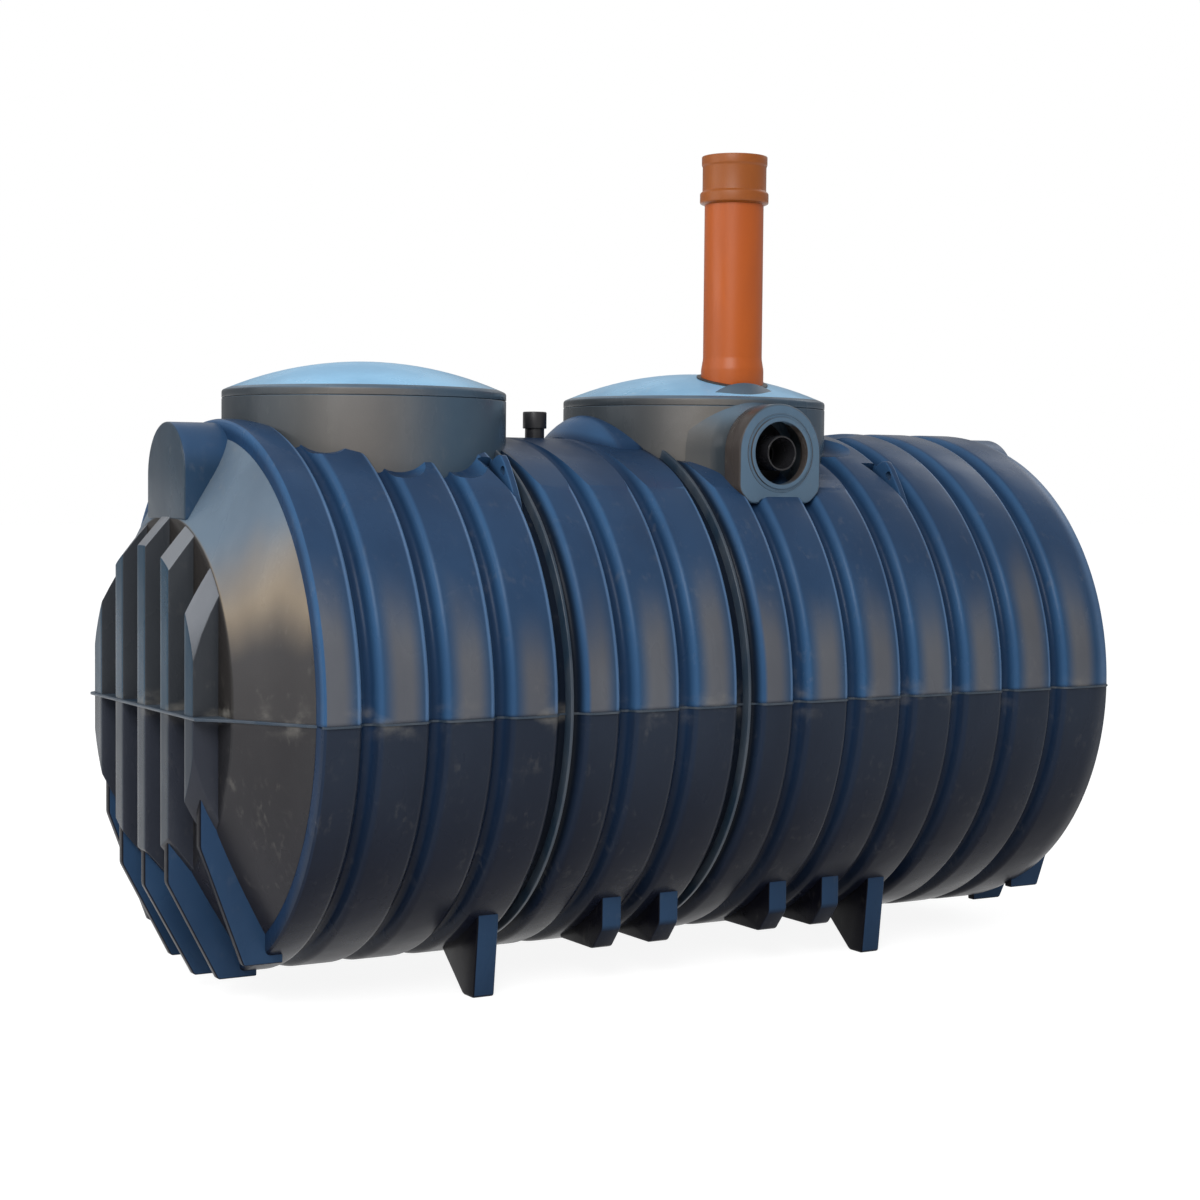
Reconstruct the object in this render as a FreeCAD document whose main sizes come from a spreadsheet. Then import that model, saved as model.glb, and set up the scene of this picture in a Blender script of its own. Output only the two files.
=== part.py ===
import FreeCAD, Part
import Sketcher
import os

# Horizontal ribbed septic tank of moulded polyethylene. It lies on four feet, has two
# access necks with domed lids, an outlet housing on the far neck and a vent pipe in the
# far lid.
#
# The tank is drawn about its own long axis: X runs from the near end to the far end,
# Y is across with the outlet at the -Y side, and Z is measured from the axis. Every
# sub-part is then placed so that the ground is at Z = 0 under the middle of the tank.

Vector = FreeCAD.Vector
Rotation = FreeCAD.Rotation

# Driving sizes in millimetres, angles in degrees, counts as whole numbers
DRIVING_SIZES = [
    ("crest_radius", 690, "radius over the rib crests"),
    ("ground_clearance", 52, "lowest rib crest above the ground"),
    ("groove_depth", 34, "depth of the grooves between the ribs"),
    ("groove_mouth", 50, "width of a groove at the crests"),
    ("groove_floor", 24, "width of a groove at its floor"),
    ("groove_count", 13, "grooves along the barrel"),
    ("rib_pitch", 171, "rib to rib along the barrel"),
    ("shell_wall", 12, "barrel wall under the groove floor"),
    ("near_land", 117, "near end of the barrel beyond its last groove"),
    ("far_land", 146, "far edge of the last crest beyond its groove"),
    ("far_slope", 41, "sloped far edge of the last rib along the barrel"),
    ("joint_spacing", 3, "rib pitches from the middle joint to the near joint"),
    ("joint_offset", 20, "joint plane beyond its groove centre"),
    ("far_split", 3, "plain joint of the far barrel sections, in pitches from the middle"),
    ("joint_mouth_reach", 57, "joint groove mouth beyond its groove centre"),
    ("joint_floor_reach", 44, "joint groove floor beyond its groove centre"),
    ("band_width", 16, "width of a joint band"),
    ("band_rise", 22, "height of a joint band over the groove floor"),
    ("near_cap_drop", 44, "base of the near cone below the crest"),
    ("far_cap_drop", 14, "base of the far cone below the crest"),
    ("front_radius", 375, "radius of the cone at its flat front"),
    ("cone_length", 188, "length of an end cone"),
    ("slot_radius", 434, "radius of a cone at the floor of its slots"),
    ("slot_depth", 63, "depth of the upright slots in an end"),
    ("end_rib_spacing", 165, "upright end ribs, centre to centre"),
    ("end_rib_width", 58, "width of an upright end rib"),
    ("cap_wall", 10, "wall of an end cap"),
    ("spigot_length", 40, "cap spigot inside the barrel"),
    ("fit_gap", 0.3, "clearance between pieces that fit in each other"),
    ("blade_thickness", 27, "thickness of an end blade"),
    ("blade_setback", 4, "blade behind the flat front"),
    ("blade_top_radius", 465, "radius where the slanted blade edge starts"),
    ("blade_keel_rise", 12, "lowest blade edge beyond the crest radius"),
    ("blade_toe_setback", 134, "lower end of the slanted edge behind the front"),
    ("blade_heel_setback", 234, "back edge of a blade behind the front"),
    ("flange_thickness", 10, "thickness of the seam flange"),
    ("flange_lip", 6, "seam flange beyond the end surface"),
    ("boss_radius", 132, "arch radius of an inlet boss"),
    ("boss_drop", 142, "arch centre of an inlet boss below the crest"),
    ("boss_stem", 78, "lower edge of an inlet boss below its arch centre"),
    ("boss_root", 95, "boss root behind its face"),
    ("boss_wall", 10, "wall of an inlet boss"),
    ("neck_radius", 365, "outer radius of a neck"),
    ("neck_wall", 14, "wall of a neck"),
    ("near_neck_setback", 412, "near neck axis from the near end of the barrel"),
    ("far_neck_place", 278, "far neck axis beyond the middle groove"),
    ("neck_root_drop", 200, "lowest drawn edge of a neck below the crest"),
    ("neck_rise", 77, "neck rim above the crest"),
    ("lid_rise", 78, "rise of a domed lid over the rim"),
    ("lid_wall", 6, "wall of a lid"),
    ("lid_skirt", 20, "depth of the lid skirt"),
    ("port_setback", 28, "outlet centre before the far neck axis"),
    ("port_drop", 145, "outlet centre below the rim"),
    ("port_reach", 103, "outlet face beyond the neck"),
    ("port_radius", 87, "radius of the outlet opening"),
    ("housing_radius", 129, "arch radius of the outlet housing"),
    ("housing_stem", 132, "foot of the housing below the outlet centre"),
    ("housing_toe", 30, "width of a housing foot at its sole"),
    ("housing_chamfer", 34, "sloped outer corner of a housing foot"),
    ("housing_notch", 9, "housing face between its feet above their soles"),
    ("housing_wall", 12, "wall of the outlet housing"),
    ("seal_bore", 82.5, "bore radius of the outlet seal"),
    ("seal_flange_radius", 96, "outer radius of the outlet seal"),
    ("seal_flange", 5, "thickness of the seal flange"),
    ("seal_sleeve", 20, "seal sleeve inside the opening"),
    ("dip_radius", 46, "outer radius of the dip pipe"),
    ("dip_bore", 41, "bore radius of the dip pipe"),
    ("dip_setback", 22, "mouth of the dip pipe behind the outlet face"),
    ("dip_inset", 170, "upright dip pipe axis inside the neck's outside"),
    ("dip_collar", 8, "thickness of the dip pipe collar"),
    ("dip_top_drop", 52, "top of the dip pipe below the rim"),
    ("dip_foot", 60, "foot of the dip pipe below the axis"),
    ("vent_setback", 2, "vent pipe axis before the far neck axis"),
    ("vent_inset", 170, "vent pipe axis inside the neck's outside"),
    ("vent_radius", 80, "outer radius of the vent pipe"),
    ("vent_bore", 76, "bore radius of the vent pipe"),
    ("vent_foot_drop", 27, "lower end of the vent pipe below the rim"),
    ("flare_radius", 85, "outer radius of the vent pipe foot"),
    ("flare_rise", 83, "start of the pipe's taper above the rim"),
    ("flare_taper", 30, "height of the taper"),
    ("vent_rise", 659, "top of the vent pipe above the rim"),
    ("socket_length", 126, "length of the vent socket"),
    ("socket_bore", 80.4, "bore radius of the vent socket"),
    ("socket_depth", 112, "depth of the socket bore"),
    ("bead_radius", 93, "radius of the lower socket bead"),
    ("bead_height", 27, "height of the lower socket bead"),
    ("sleeve_radius", 86.5, "radius of the socket sleeve"),
    ("socket_rim_radius", 89, "radius of the socket rim"),
    ("socket_rim_height", 28, "height of the socket rim"),
    ("socket_slope", 5, "height of the sloped steps on the socket"),
    ("grommet_radius", 97, "outer radius of the vent grommet"),
    ("grommet_foot_rise", 13, "lower end of the grommet above the rim"),
    ("grommet_rise", 4, "grommet above the lid surface"),
    ("stub_pitches", 1.345, "breather stub before the middle groove, in rib pitches"),
    ("stub_radius", 26, "outer radius of the breather stub"),
    ("stub_bore", 22, "bore radius of the breather stub"),
    ("stub_height", 70, "breather stub above the saddle"),
    ("stub_cap_radius", 30, "outer radius of the breather cap"),
    ("stub_cap_skirt", 45, "depth of the breather cap"),
    ("stub_cap_top", 8, "thickness of the breather cap's top"),
    ("shoulder_radius", 207, "arch radius of the shoulder at the neck"),
    ("shoulder_slope", 64, "fall of the shoulder from the neck to its toe"),
    ("shoulder_length", 58, "shoulder from the neck to its toe"),
    ("saddle_pitches", 3, "reach of the saddle between the necks, in rib pitches"),
    ("saddle_drop", 31, "saddle below the crest at the top"),
    ("saddle_half", 450, "edge of the saddle from the tank axis"),
    ("lug_angle", 36.5, "middle of a lug from the top of the tank"),
    ("lug_plate", 18, "thickness of a lug along the tank"),
    ("lug_high", 78, "upper end of a lug from its middle"),
    ("lug_low", 100, "lower tip of a lug from its middle"),
    ("lug_peak", 60, "first corner of the lug's top from its middle"),
    ("lug_peak_end", 34, "second corner of the lug's top from its middle"),
    ("lug_rise", 25, "lug above the crest at its top"),
    ("lug_tip_drop", 28, "lug below the crest at its lower tip"),
    ("lug_shoulder_drop", 6, "lug below the crest at its upper end"),
    ("pocket_width", 50, "width of the pocket beside a lug"),
    ("pocket_depth", 30, "deepest point of the pocket beside a lug"),
    ("pocket_high", 86, "upper end of the pocket from the lug middle"),
    ("pocket_low", 95, "lower tip of the pocket from the lug middle"),
    ("lug_hole_radius", 12, "radius of the lifting hole"),
    ("lug_hole_rise", 2, "lifting hole centre above the crest"),
    ("lug_hole_offset", 17, "lifting hole centre above the lug middle"),
    ("carrier_pitches", 3.5, "feet and lugs from the middle groove, in rib pitches"),
    ("foot_thickness", 45, "thickness of a foot along the tank"),
    ("foot_inner", 360, "inner edge of the sole from the tank axis"),
    ("foot_outer", 418, "outer edge of the sole from the tank axis"),
    ("foot_shoulder", 440, "outer edge of a foot at the belly"),
    ("foot_shoulder_rise", 140, "that edge above the lowest rib crest"),
    ("foot_heel", 243, "inner edge of a foot at the belly"),
    ("keel_thickness", 45, "thickness of a keel fin along the tank"),
    ("keel_heel", 248, "inner edge of a keel fin"),
    ("keel_toe", 415, "toe of a keel fin from the tank axis"),
    ("keel_rise", 40, "keel fin edge above the lowest rib crest"),
    ("keel_shoulder", 462, "outer edge of a keel fin at the belly"),
    ("keel_shoulder_rise", 98, "that edge above the lowest rib crest"),
    ("root_overlap", 60, "how far a fin is drawn into the barrel before trimming"),
]

# Places and radii that follow from the driving sizes
CHAMBER_RADIUS = "(Sizes.crest_radius - Sizes.groove_depth - Sizes.shell_wall)"
GROOVE_FLOOR_RADIUS = "(Sizes.crest_radius - Sizes.groove_depth)"
AXIS_HEIGHT = "(Sizes.crest_radius + Sizes.ground_clearance)"
LAST_GROOVE = "((Sizes.groove_count - 1) / 2 * Sizes.rib_pitch)"
NEAR_REACH = "(%s + Sizes.near_land)" % LAST_GROOVE
FAR_CREST = "(%s + Sizes.far_land)" % LAST_GROOVE
FAR_REACH = "(%s + Sizes.far_slope)" % FAR_CREST
NEAR_FRONT = "(%s + Sizes.cone_length)" % NEAR_REACH
FAR_FRONT = "(%s + Sizes.cone_length)" % FAR_REACH
NEAR_BASE = "(Sizes.crest_radius - Sizes.near_cap_drop)"
FAR_BASE = "(Sizes.crest_radius - Sizes.far_cap_drop)"
NEAR_JOINT = "(Sizes.joint_offset - Sizes.joint_spacing * Sizes.rib_pitch)"
MIDDLE_JOINT = "(Sizes.joint_offset)"
FAR_SPLIT = "(Sizes.far_split * Sizes.rib_pitch)"
TANK_SHIFT = "-(%s - %s) / 2" % (FAR_FRONT, NEAR_FRONT)
DOME_RADIUS = "((Sizes.neck_radius ^ 2 + Sizes.lid_rise ^ 2) / (2 * Sizes.lid_rise))"
RIM_HEIGHT = "(Sizes.crest_radius + Sizes.neck_rise)"
DOME_CENTRE = "(%s + Sizes.lid_rise - %s)" % (RIM_HEIGHT, DOME_RADIUS)
NEAR_NECK = "(Sizes.near_neck_setback - %s)" % NEAR_REACH
FAR_NECK = "Sizes.far_neck_place"
PORT_PLACE = "(Sizes.far_neck_place - Sizes.port_setback)"
PORT_HEIGHT = "(%s - Sizes.port_drop)" % RIM_HEIGHT
PORT_FACE = "(Sizes.neck_radius + Sizes.port_reach)"
DIP_AXIS = "(Sizes.neck_radius - Sizes.dip_inset)"
VENT_PLACE = "(Sizes.far_neck_place - Sizes.vent_setback)"
VENT_OFFSET = "(Sizes.neck_radius - Sizes.vent_inset)"
VENT_TOP = "(%s + Sizes.vent_rise)" % RIM_HEIGHT
STUB_PLACE = "(Sizes.stub_pitches * Sizes.rib_pitch)"
SADDLE_TOP = "(Sizes.crest_radius - Sizes.saddle_drop)"
SADDLE_EDGE = "sqrt(Sizes.crest_radius ^ 2 - Sizes.saddle_half ^ 2)"
SADDLE_RADIUS = "((Sizes.saddle_half ^ 2 + (%s - %s) ^ 2) / (2 * (%s - %s)))" % (
    SADDLE_TOP, SADDLE_EDGE, SADDLE_TOP, SADDLE_EDGE)
RIB_HALF = "(Sizes.end_rib_width / 2)"
CAP_BORE = "(%s - Sizes.fit_gap - Sizes.cap_wall)" % CHAMBER_RADIUS

ALONG = {
    "X": Rotation(Vector(0, 1, 0), 90),
    "-X": Rotation(Vector(0, 1, 0), -90),
    "Y": Rotation(Vector(1, 0, 0), -90),
    "Z": Rotation(),
}

doc = FreeCAD.newDocument("SepticTank")
sheet = doc.addObject("Spreadsheet::Sheet", "Sizes")
sub_parts = []


def fill_sheet():
    """Write each driving size into its own cell, under its own alias."""
    for row, (alias, amount, note) in enumerate(DRIVING_SIZES, start=1):
        sheet.set("A%d" % row, alias)
        sheet.set("B%d" % row, str(amount))
        sheet.set("C%d" % row, note)
        sheet.setAlias("B%d" % row, alias)
    doc.recompute()


def amount_of(expression):
    """Number that an expression on the sheet gives."""
    return float(sheet.evalExpression(expression))


def bind_place(thing, place):
    """Bind the three coordinates of an object's place."""
    for letter, expression in zip("xyz", place):
        thing.setExpression("Placement.Base." + letter, expression)


def cylinder(name, radius, length, direction, start):
    """Cylinder from its start point, along X, -X, Y or Z."""
    made = doc.addObject("Part::Cylinder", name)
    made.Placement = FreeCAD.Placement(Vector(), ALONG[direction])
    made.setExpression("Radius", radius)
    made.setExpression("Height", length)
    bind_place(made, start)
    return made


def block(name, lows, spans):
    """Upright block from its lowest corner."""
    made = doc.addObject("Part::Box", name)
    for side, expression in zip(("Length", "Width", "Height"), spans):
        made.setExpression(side, expression)
    bind_place(made, lows)
    return made


def ball(name, radius, centre):
    """Sphere about a centre."""
    made = doc.addObject("Part::Sphere", name)
    made.setExpression("Radius", radius)
    bind_place(made, centre)
    return made


def fuse(name, pieces):
    """Pieces joined into one shape."""
    made = doc.addObject("Part::MultiFuse", name)
    made.Shapes = pieces
    return made


def cut(name, base, tools):
    """Base with one or more tools taken away."""
    tool = tools[0] if len(tools) == 1 else fuse(name + "_tools", tools)
    made = doc.addObject("Part::Cut", name)
    made.Base = base
    made.Tool = tool
    return made


def common(name, first, second):
    """What two shapes share."""
    made = doc.addObject("Part::Common", name)
    made.Base = first
    made.Tool = second
    return made


def origin_feature(body, role):
    """Plane or axis of a body's own origin."""
    return next(item for item in body.Origin.OriginFeatures if item.Role == role)


def outline(body, name, plane, corners):
    """Closed outline on a plane of the body, each corner bound to the sheet."""
    sketch = body.newObject("Sketcher::SketchObject", name)
    sketch.AttachmentSupport = (origin_feature(body, plane), "")
    sketch.MapMode = "FlatFace"
    places = [Vector(amount_of(across), amount_of(up), 0) for across, up in corners]
    count = len(places)
    for index, place in enumerate(places):
        sketch.addGeometry(Part.LineSegment(place, places[(index + 1) % count]), False)
    for index in range(count):
        sketch.addConstraint(Sketcher.Constraint("Coincident", index, 2, (index + 1) % count, 1))
    for index, (across, up) in enumerate(corners):
        place = places[index]
        level = sketch.addConstraint(Sketcher.Constraint("DistanceX", -1, 1, index, 1, place.x))
        sketch.setExpression("Constraints[%d]" % level, across)
        level = sketch.addConstraint(Sketcher.Constraint("DistanceY", -1, 1, index, 1, place.y))
        sketch.setExpression("Constraints[%d]" % level, up)
    return sketch


def turned_body(name, plane, axis, corners, place=("0", "0", "0")):
    """Body made by turning an outline about an axis of its sketch."""
    body = doc.addObject("PartDesign::Body", name)
    sketch = outline(body, name + "_outline", plane, corners)
    turn = body.newObject("PartDesign::Revolution", name + "_turn")
    turn.Profile = sketch
    turn.ReferenceAxis = (sketch, [axis])
    turn.Angle = 360
    bind_place(body, place)
    return body


def plate_body(name, plane, thickness, corners, place, turn=Rotation()):
    """Body made by padding an outline evenly to both sides of its plane."""
    body = doc.addObject("PartDesign::Body", name)
    sketch = outline(body, name + "_outline", plane, corners)
    pad = body.newObject("PartDesign::Pad", name + "_pad")
    pad.Profile = sketch
    pad.SideType = "Symmetric"
    pad.setExpression("Length", thickness)
    body.Placement = FreeCAD.Placement(Vector(), turn)
    bind_place(body, place)
    return body


def sub_part(piece, label):
    """Give a finished piece its node name and its place over the ground."""
    piece.Label = label
    own_shift = piece.Placement.Base
    bind_place(piece, (
        "%s + %r" % (TANK_SHIFT, own_shift.x) if own_shift.x else TANK_SHIFT,
        "%r" % own_shift.y,
        AXIS_HEIGHT,
    ))
    sub_parts.append(piece)


# The whole outside of the tank, used to shape the barrel and to trim what sits on it
def groove_outline(body, name, centre, floor_end, mouth_end):
    """Outline of one groove, from its near mouth edge to its far one."""
    above = "Sizes.crest_radius + Sizes.groove_depth"
    return outline(body, name, "XY_Plane", [
        (centre + " - Sizes.groove_mouth / 2", "Sizes.crest_radius"),
        (centre + " - Sizes.groove_floor / 2", GROOVE_FLOOR_RADIUS),
        (floor_end, GROOVE_FLOOR_RADIUS),
        (mouth_end, "Sizes.crest_radius"),
        (mouth_end, above),
        (centre + " - Sizes.groove_mouth / 2", above),
    ])


def groove_feature(body, name, sketch):
    """Groove turned all round the barrel."""
    groove = body.newObject("PartDesign::Groove", name)
    groove.Profile = sketch
    groove.ReferenceAxis = (sketch, ["H_Axis"])
    groove.Angle = 360
    return groove


def barrel_form():
    """Ribbed barrel with both end cones, solid."""
    body = turned_body("barrel", "XY_Plane", "H_Axis", [
        ("-" + NEAR_FRONT, "0"),
        ("-" + NEAR_FRONT, "Sizes.front_radius"),
        ("-(%s - Sizes.slot_depth)" % NEAR_FRONT, "Sizes.slot_radius"),
        ("-" + NEAR_REACH, NEAR_BASE),
        ("-" + NEAR_REACH, "Sizes.crest_radius"),
        (FAR_CREST, "Sizes.crest_radius"),
        (FAR_REACH, FAR_BASE),
        ("%s - Sizes.slot_depth" % FAR_FRONT, "Sizes.slot_radius"),
        (FAR_FRONT, "Sizes.front_radius"),
        (FAR_FRONT, "0"),
    ])
    first = "-" + LAST_GROOVE
    sketch = groove_outline(body, "rib_groove_outline", first,
                            first + " + Sizes.groove_floor / 2",
                            first + " + Sizes.groove_mouth / 2")
    groove = groove_feature(body, "rib_groove", sketch)
    doc.recompute()
    row = body.newObject("PartDesign::LinearPattern", "rib_grooves")
    row.Originals = [groove]
    row.Direction = (origin_feature(body, "X_Axis"), [""])
    row.setExpression("Length", "(Sizes.groove_count - 1) * Sizes.rib_pitch")
    row.setExpression("Occurrences", "Sizes.groove_count")
    body.Tip = row
    doc.recompute()
    for name, centre in (("near_joint", NEAR_JOINT + " - Sizes.joint_offset"),
                         ("middle_joint", MIDDLE_JOINT + " - Sizes.joint_offset")):
        sketch = groove_outline(body, name + "_groove_outline", centre,
                                centre + " + Sizes.joint_floor_reach",
                                centre + " + Sizes.joint_mouth_reach")
        body.Tip = groove_feature(body, name + "_groove", sketch)
        doc.recompute()
    return body


def end_slots(side, sign, front):
    """Upright slots that leave five ribs standing on one end."""
    low = "-%s" % front if sign < 0 else "%s - Sizes.slot_depth" % front
    low = low + " - Sizes.flange_lip" if sign < 0 else low
    slots = []
    for index in range(-3, 3):
        start = "%d * Sizes.end_rib_spacing + %s" % (index, RIB_HALF)
        width = "Sizes.end_rib_spacing - Sizes.end_rib_width"
        if index == -3:
            start = "-Sizes.crest_radius"
            width = "Sizes.crest_radius - 2 * Sizes.end_rib_spacing - " + RIB_HALF
        if index == 2:
            width = "Sizes.crest_radius - 2 * Sizes.end_rib_spacing - " + RIB_HALF
        slots.append(block(
            "%s_slot_%d" % (side, index + 4),
            (low, start, "-Sizes.crest_radius"),
            ("Sizes.slot_depth + Sizes.flange_lip", width, "2 * Sizes.crest_radius"),
        ))
    return fuse(side + "_slots", slots)


def section(label, shell, start, stretch):
    """One barrel section between two planes across the axis."""
    reach = "Sizes.crest_radius"
    slab = block(label + "_slab", (start, "-" + reach, "-" + reach),
                 (stretch, "2 * " + reach, "2 * " + reach))
    sub_part(common(label + "_section", shell, slab), label)


def joint_band(label, joint, form):
    """Narrow raised band in a joint groove, broken where a neck stands."""
    half = "Sizes.band_width / 2"
    band = turned_body(label + "_ring", "XY_Plane", "H_Axis", [
        (joint + " - " + half, GROOVE_FLOOR_RADIUS),
        (joint + " + " + half, GROOVE_FLOOR_RADIUS),
        (joint + " + %s / 2" % half, GROOVE_FLOOR_RADIUS + " + Sizes.band_rise"),
        (joint + " - %s / 2" % half, GROOVE_FLOOR_RADIUS + " + Sizes.band_rise"),
    ])
    sub_part(cut(label + "_cut", band, [form]), label)


def end_cap(side, sign, reach, base_radius, front, slots):
    """Hollow end cone with five upright ribs and a spigot for the barrel."""
    mark = "-" if sign < 0 else ""
    inner_front = "(%s - Sizes.slot_depth - Sizes.cap_wall)" % front
    inner_radius = "(Sizes.slot_radius - 2 * Sizes.cap_wall)"
    body = turned_body(side + "_cap_form", "XY_Plane", "H_Axis", [
        ("%s(%s - Sizes.spigot_length)" % (mark, reach), CAP_BORE),
        ("%s(%s - Sizes.spigot_length)" % (mark, reach), CHAMBER_RADIUS + " - Sizes.fit_gap"),
        ("%s(%s)" % (mark, reach), CHAMBER_RADIUS + " - Sizes.fit_gap"),
        ("%s(%s)" % (mark, reach), base_radius),
        ("%s(%s - Sizes.slot_depth)" % (mark, front), "Sizes.slot_radius"),
        ("%s%s" % (mark, front), "Sizes.front_radius"),
        ("%s%s" % (mark, front), "0"),
        ("%s%s" % (mark, inner_front), "0"),
        ("%s%s" % (mark, inner_front), inner_radius),
        ("%s(%s)" % (mark, reach), CAP_BORE),
    ])
    sub_part(cut(side + "_cap_cut", body, [slots]), side + "_end_cap")


def end_blades(side, sign, front, form):
    """Five upright blades under the end ribs, from the end face to the first rib."""
    mark = "-" if sign < 0 else ""
    blades = []
    for index in range(-2, 3):
        across = "(%d * Sizes.end_rib_spacing)" % index
        keel = "-sqrt((Sizes.crest_radius + Sizes.blade_keel_rise) ^ 2 - %s ^ 2)" % across
        face = "%s(%s - Sizes.blade_setback)" % (mark, front)
        heel = "%s(%s - Sizes.blade_heel_setback)" % (mark, front)
        blades.append(plate_body("%s_blade_%d" % (side, index + 3), "XZ_Plane",
                                 "Sizes.blade_thickness", [
            (face, "-sqrt(Sizes.blade_top_radius ^ 2 - %s ^ 2)" % across),
            ("%s(%s - Sizes.blade_toe_setback)" % (mark, front), keel),
            (heel, keel),
            (heel, keel + " + Sizes.root_overlap"),
            (face, "-sqrt(Sizes.front_radius ^ 2 - %s ^ 2) + Sizes.root_overlap" % across),
        ], ("0", across, "0")))
    sub_part(cut(side + "_blades_cut", fuse(side + "_blades", blades), [form]),
             side + "_end_blades")


def seam_flange(side, sign, reach, base_radius, front, form):
    """Flat ledge left by the mould joint across an end, level with the axis."""
    mark = "-" if sign < 0 else ""
    lip = "Sizes.flange_lip"
    half = "Sizes.flange_thickness / 2"
    plate = plate_body(side + "_flange_plate", "XY_Plane", "Sizes.flange_thickness", [
        ("%s%s" % (mark, reach), "-(%s + %s)" % (base_radius, lip)),
        ("%s(%s + %s)" % (mark, front, lip), "-(Sizes.front_radius + %s)" % half),
        ("%s(%s + %s)" % (mark, front, lip), "Sizes.front_radius + %s" % half),
        ("%s%s" % (mark, reach), "%s + %s" % (base_radius, lip)),
    ], ("0", "0", "0"))
    sub_part(cut(side + "_flange_cut", plate, [form]), side + "_seam_flange")


def arch_prism(name, centre, radius, arch_height, foot, face, length):
    """Upright prism with a round top, along X from its face; length may point back."""
    arch = cylinder(name + "_arch", radius, length, face[1], (face[0], centre, arch_height))
    low = face[0] if face[1] == "X" else "%s - %s" % (face[0], length)
    stem = block(name + "_stem", (low, "%s - %s" % (centre, radius), foot),
                 (length, "2 * " + radius, "%s - %s" % (arch_height, foot)))
    return fuse(name, [arch, stem])


def inlet_boss(side, sign, front, form):
    """Blind inlet boss over the end ribs, open towards the cone."""
    face = "-(%s - Sizes.slot_depth)" % front if sign < 0 else "%s - Sizes.slot_depth" % front
    inner = face + (" + Sizes.boss_wall" if sign < 0 else " - Sizes.boss_wall")
    away = "X" if sign < 0 else "-X"
    height = "(Sizes.crest_radius - Sizes.boss_drop)"
    foot = "(%s - Sizes.boss_stem)" % height
    outside = arch_prism(side + "_boss_outside", "0", "Sizes.boss_radius", height, foot,
                         (face, away), "Sizes.boss_root")
    inside = arch_prism(side + "_boss_inside", "0", "(Sizes.boss_radius - Sizes.boss_wall)",
                        height, "(%s + Sizes.boss_wall)" % foot, (inner, away),
                        "Sizes.boss_root")
    sub_part(cut(side + "_boss_cut", outside, [inside, form]), side + "_inlet_boss")


def neck(side, place, trims):
    """Upright neck with a rebate for its lid, trimmed to sit on the ribs."""
    outer = "Sizes.neck_radius"
    inner = "Sizes.neck_radius - Sizes.neck_wall"
    rebate = "Sizes.neck_radius - Sizes.lid_wall - Sizes.fit_gap"
    root = "Sizes.crest_radius - Sizes.neck_root_drop"
    tube = turned_body(side + "_neck_tube", "XZ_Plane", "V_Axis", [
        (inner, root),
        (outer, root),
        (outer, RIM_HEIGHT + " - Sizes.lid_skirt"),
        (rebate, RIM_HEIGHT + " - Sizes.lid_skirt"),
        (rebate, RIM_HEIGHT),
        (inner, RIM_HEIGHT),
    ], (place, "0", "0"))
    sub_part(cut(side + "_neck_cut", tube, trims), side + "_neck")


def lid(side, place, openings):
    """Domed lid whose skirt drops into the neck's rebate."""
    outer = ball(side + "_dome_outside", DOME_RADIUS, (place, "0", DOME_CENTRE))
    inner = ball(side + "_dome_inside", DOME_RADIUS + " - Sizes.lid_wall",
                 (place, "0", DOME_CENTRE))
    disc = cylinder(side + "_lid_disc", "Sizes.neck_radius", "2 * Sizes.lid_rise", "Z",
                    (place, "0", RIM_HEIGHT))
    skirt = turned_body(side + "_lid_skirt", "XZ_Plane", "V_Axis", [
        ("Sizes.neck_radius - Sizes.lid_wall", RIM_HEIGHT + " - Sizes.lid_skirt"),
        ("Sizes.neck_radius", RIM_HEIGHT + " - Sizes.lid_skirt"),
        ("Sizes.neck_radius", RIM_HEIGHT),
        ("Sizes.neck_radius - Sizes.lid_wall", RIM_HEIGHT),
    ], (place, "0", "0"))
    dome = cut(side + "_dome", common(side + "_dome_solid", outer, disc), [inner])
    whole = fuse(side + "_lid_whole", [dome, skirt])
    if openings:
        whole = cut(side + "_lid_cut", whole, openings)
    sub_part(whole, side + "_lid")


def arch_across(name, radius, sole, depth):
    """Upright prism with a round top, from a plane on the -Y side to the tank axis."""
    arch = cylinder(name + "_arch", radius, depth, "Y",
                    (PORT_PLACE, "-" + depth, PORT_HEIGHT))
    stem = plate_body(name + "_stem", "XZ_Plane", depth, [
        ("-" + radius, PORT_HEIGHT),
        ("-" + radius, sole + " + Sizes.housing_chamfer"),
        ("-(%s - Sizes.housing_chamfer)" % radius, sole),
        ("-(%s - Sizes.housing_chamfer - Sizes.housing_toe)" % radius, sole),
        ("-(%s - Sizes.housing_chamfer - Sizes.housing_toe)" % radius,
         sole + " + Sizes.housing_notch"),
        ("%s - Sizes.housing_chamfer - Sizes.housing_toe" % radius,
         sole + " + Sizes.housing_notch"),
        ("%s - Sizes.housing_chamfer - Sizes.housing_toe" % radius, sole),
        ("%s - Sizes.housing_chamfer" % radius, sole),
        (radius, sole + " + Sizes.housing_chamfer"),
        (radius, PORT_HEIGHT),
    ], (PORT_PLACE, "-%s / 2" % depth, "0"))
    return fuse(name, [arch, stem])


def outlet_housing(form, port, neck_solid):
    """Arched housing on the far neck, hollow behind its face."""
    foot = "(%s - Sizes.housing_stem)" % PORT_HEIGHT
    outside = arch_across("housing_outside", "Sizes.housing_radius", foot, PORT_FACE)
    inside = arch_across("housing_inside", "(Sizes.housing_radius - Sizes.housing_wall)",
                         "(%s + Sizes.housing_wall)" % foot,
                         "(%s - Sizes.housing_wall)" % PORT_FACE)
    sub_part(cut("housing_cut", outside, [inside, form, port, neck_solid]), "outlet_housing")


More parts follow.
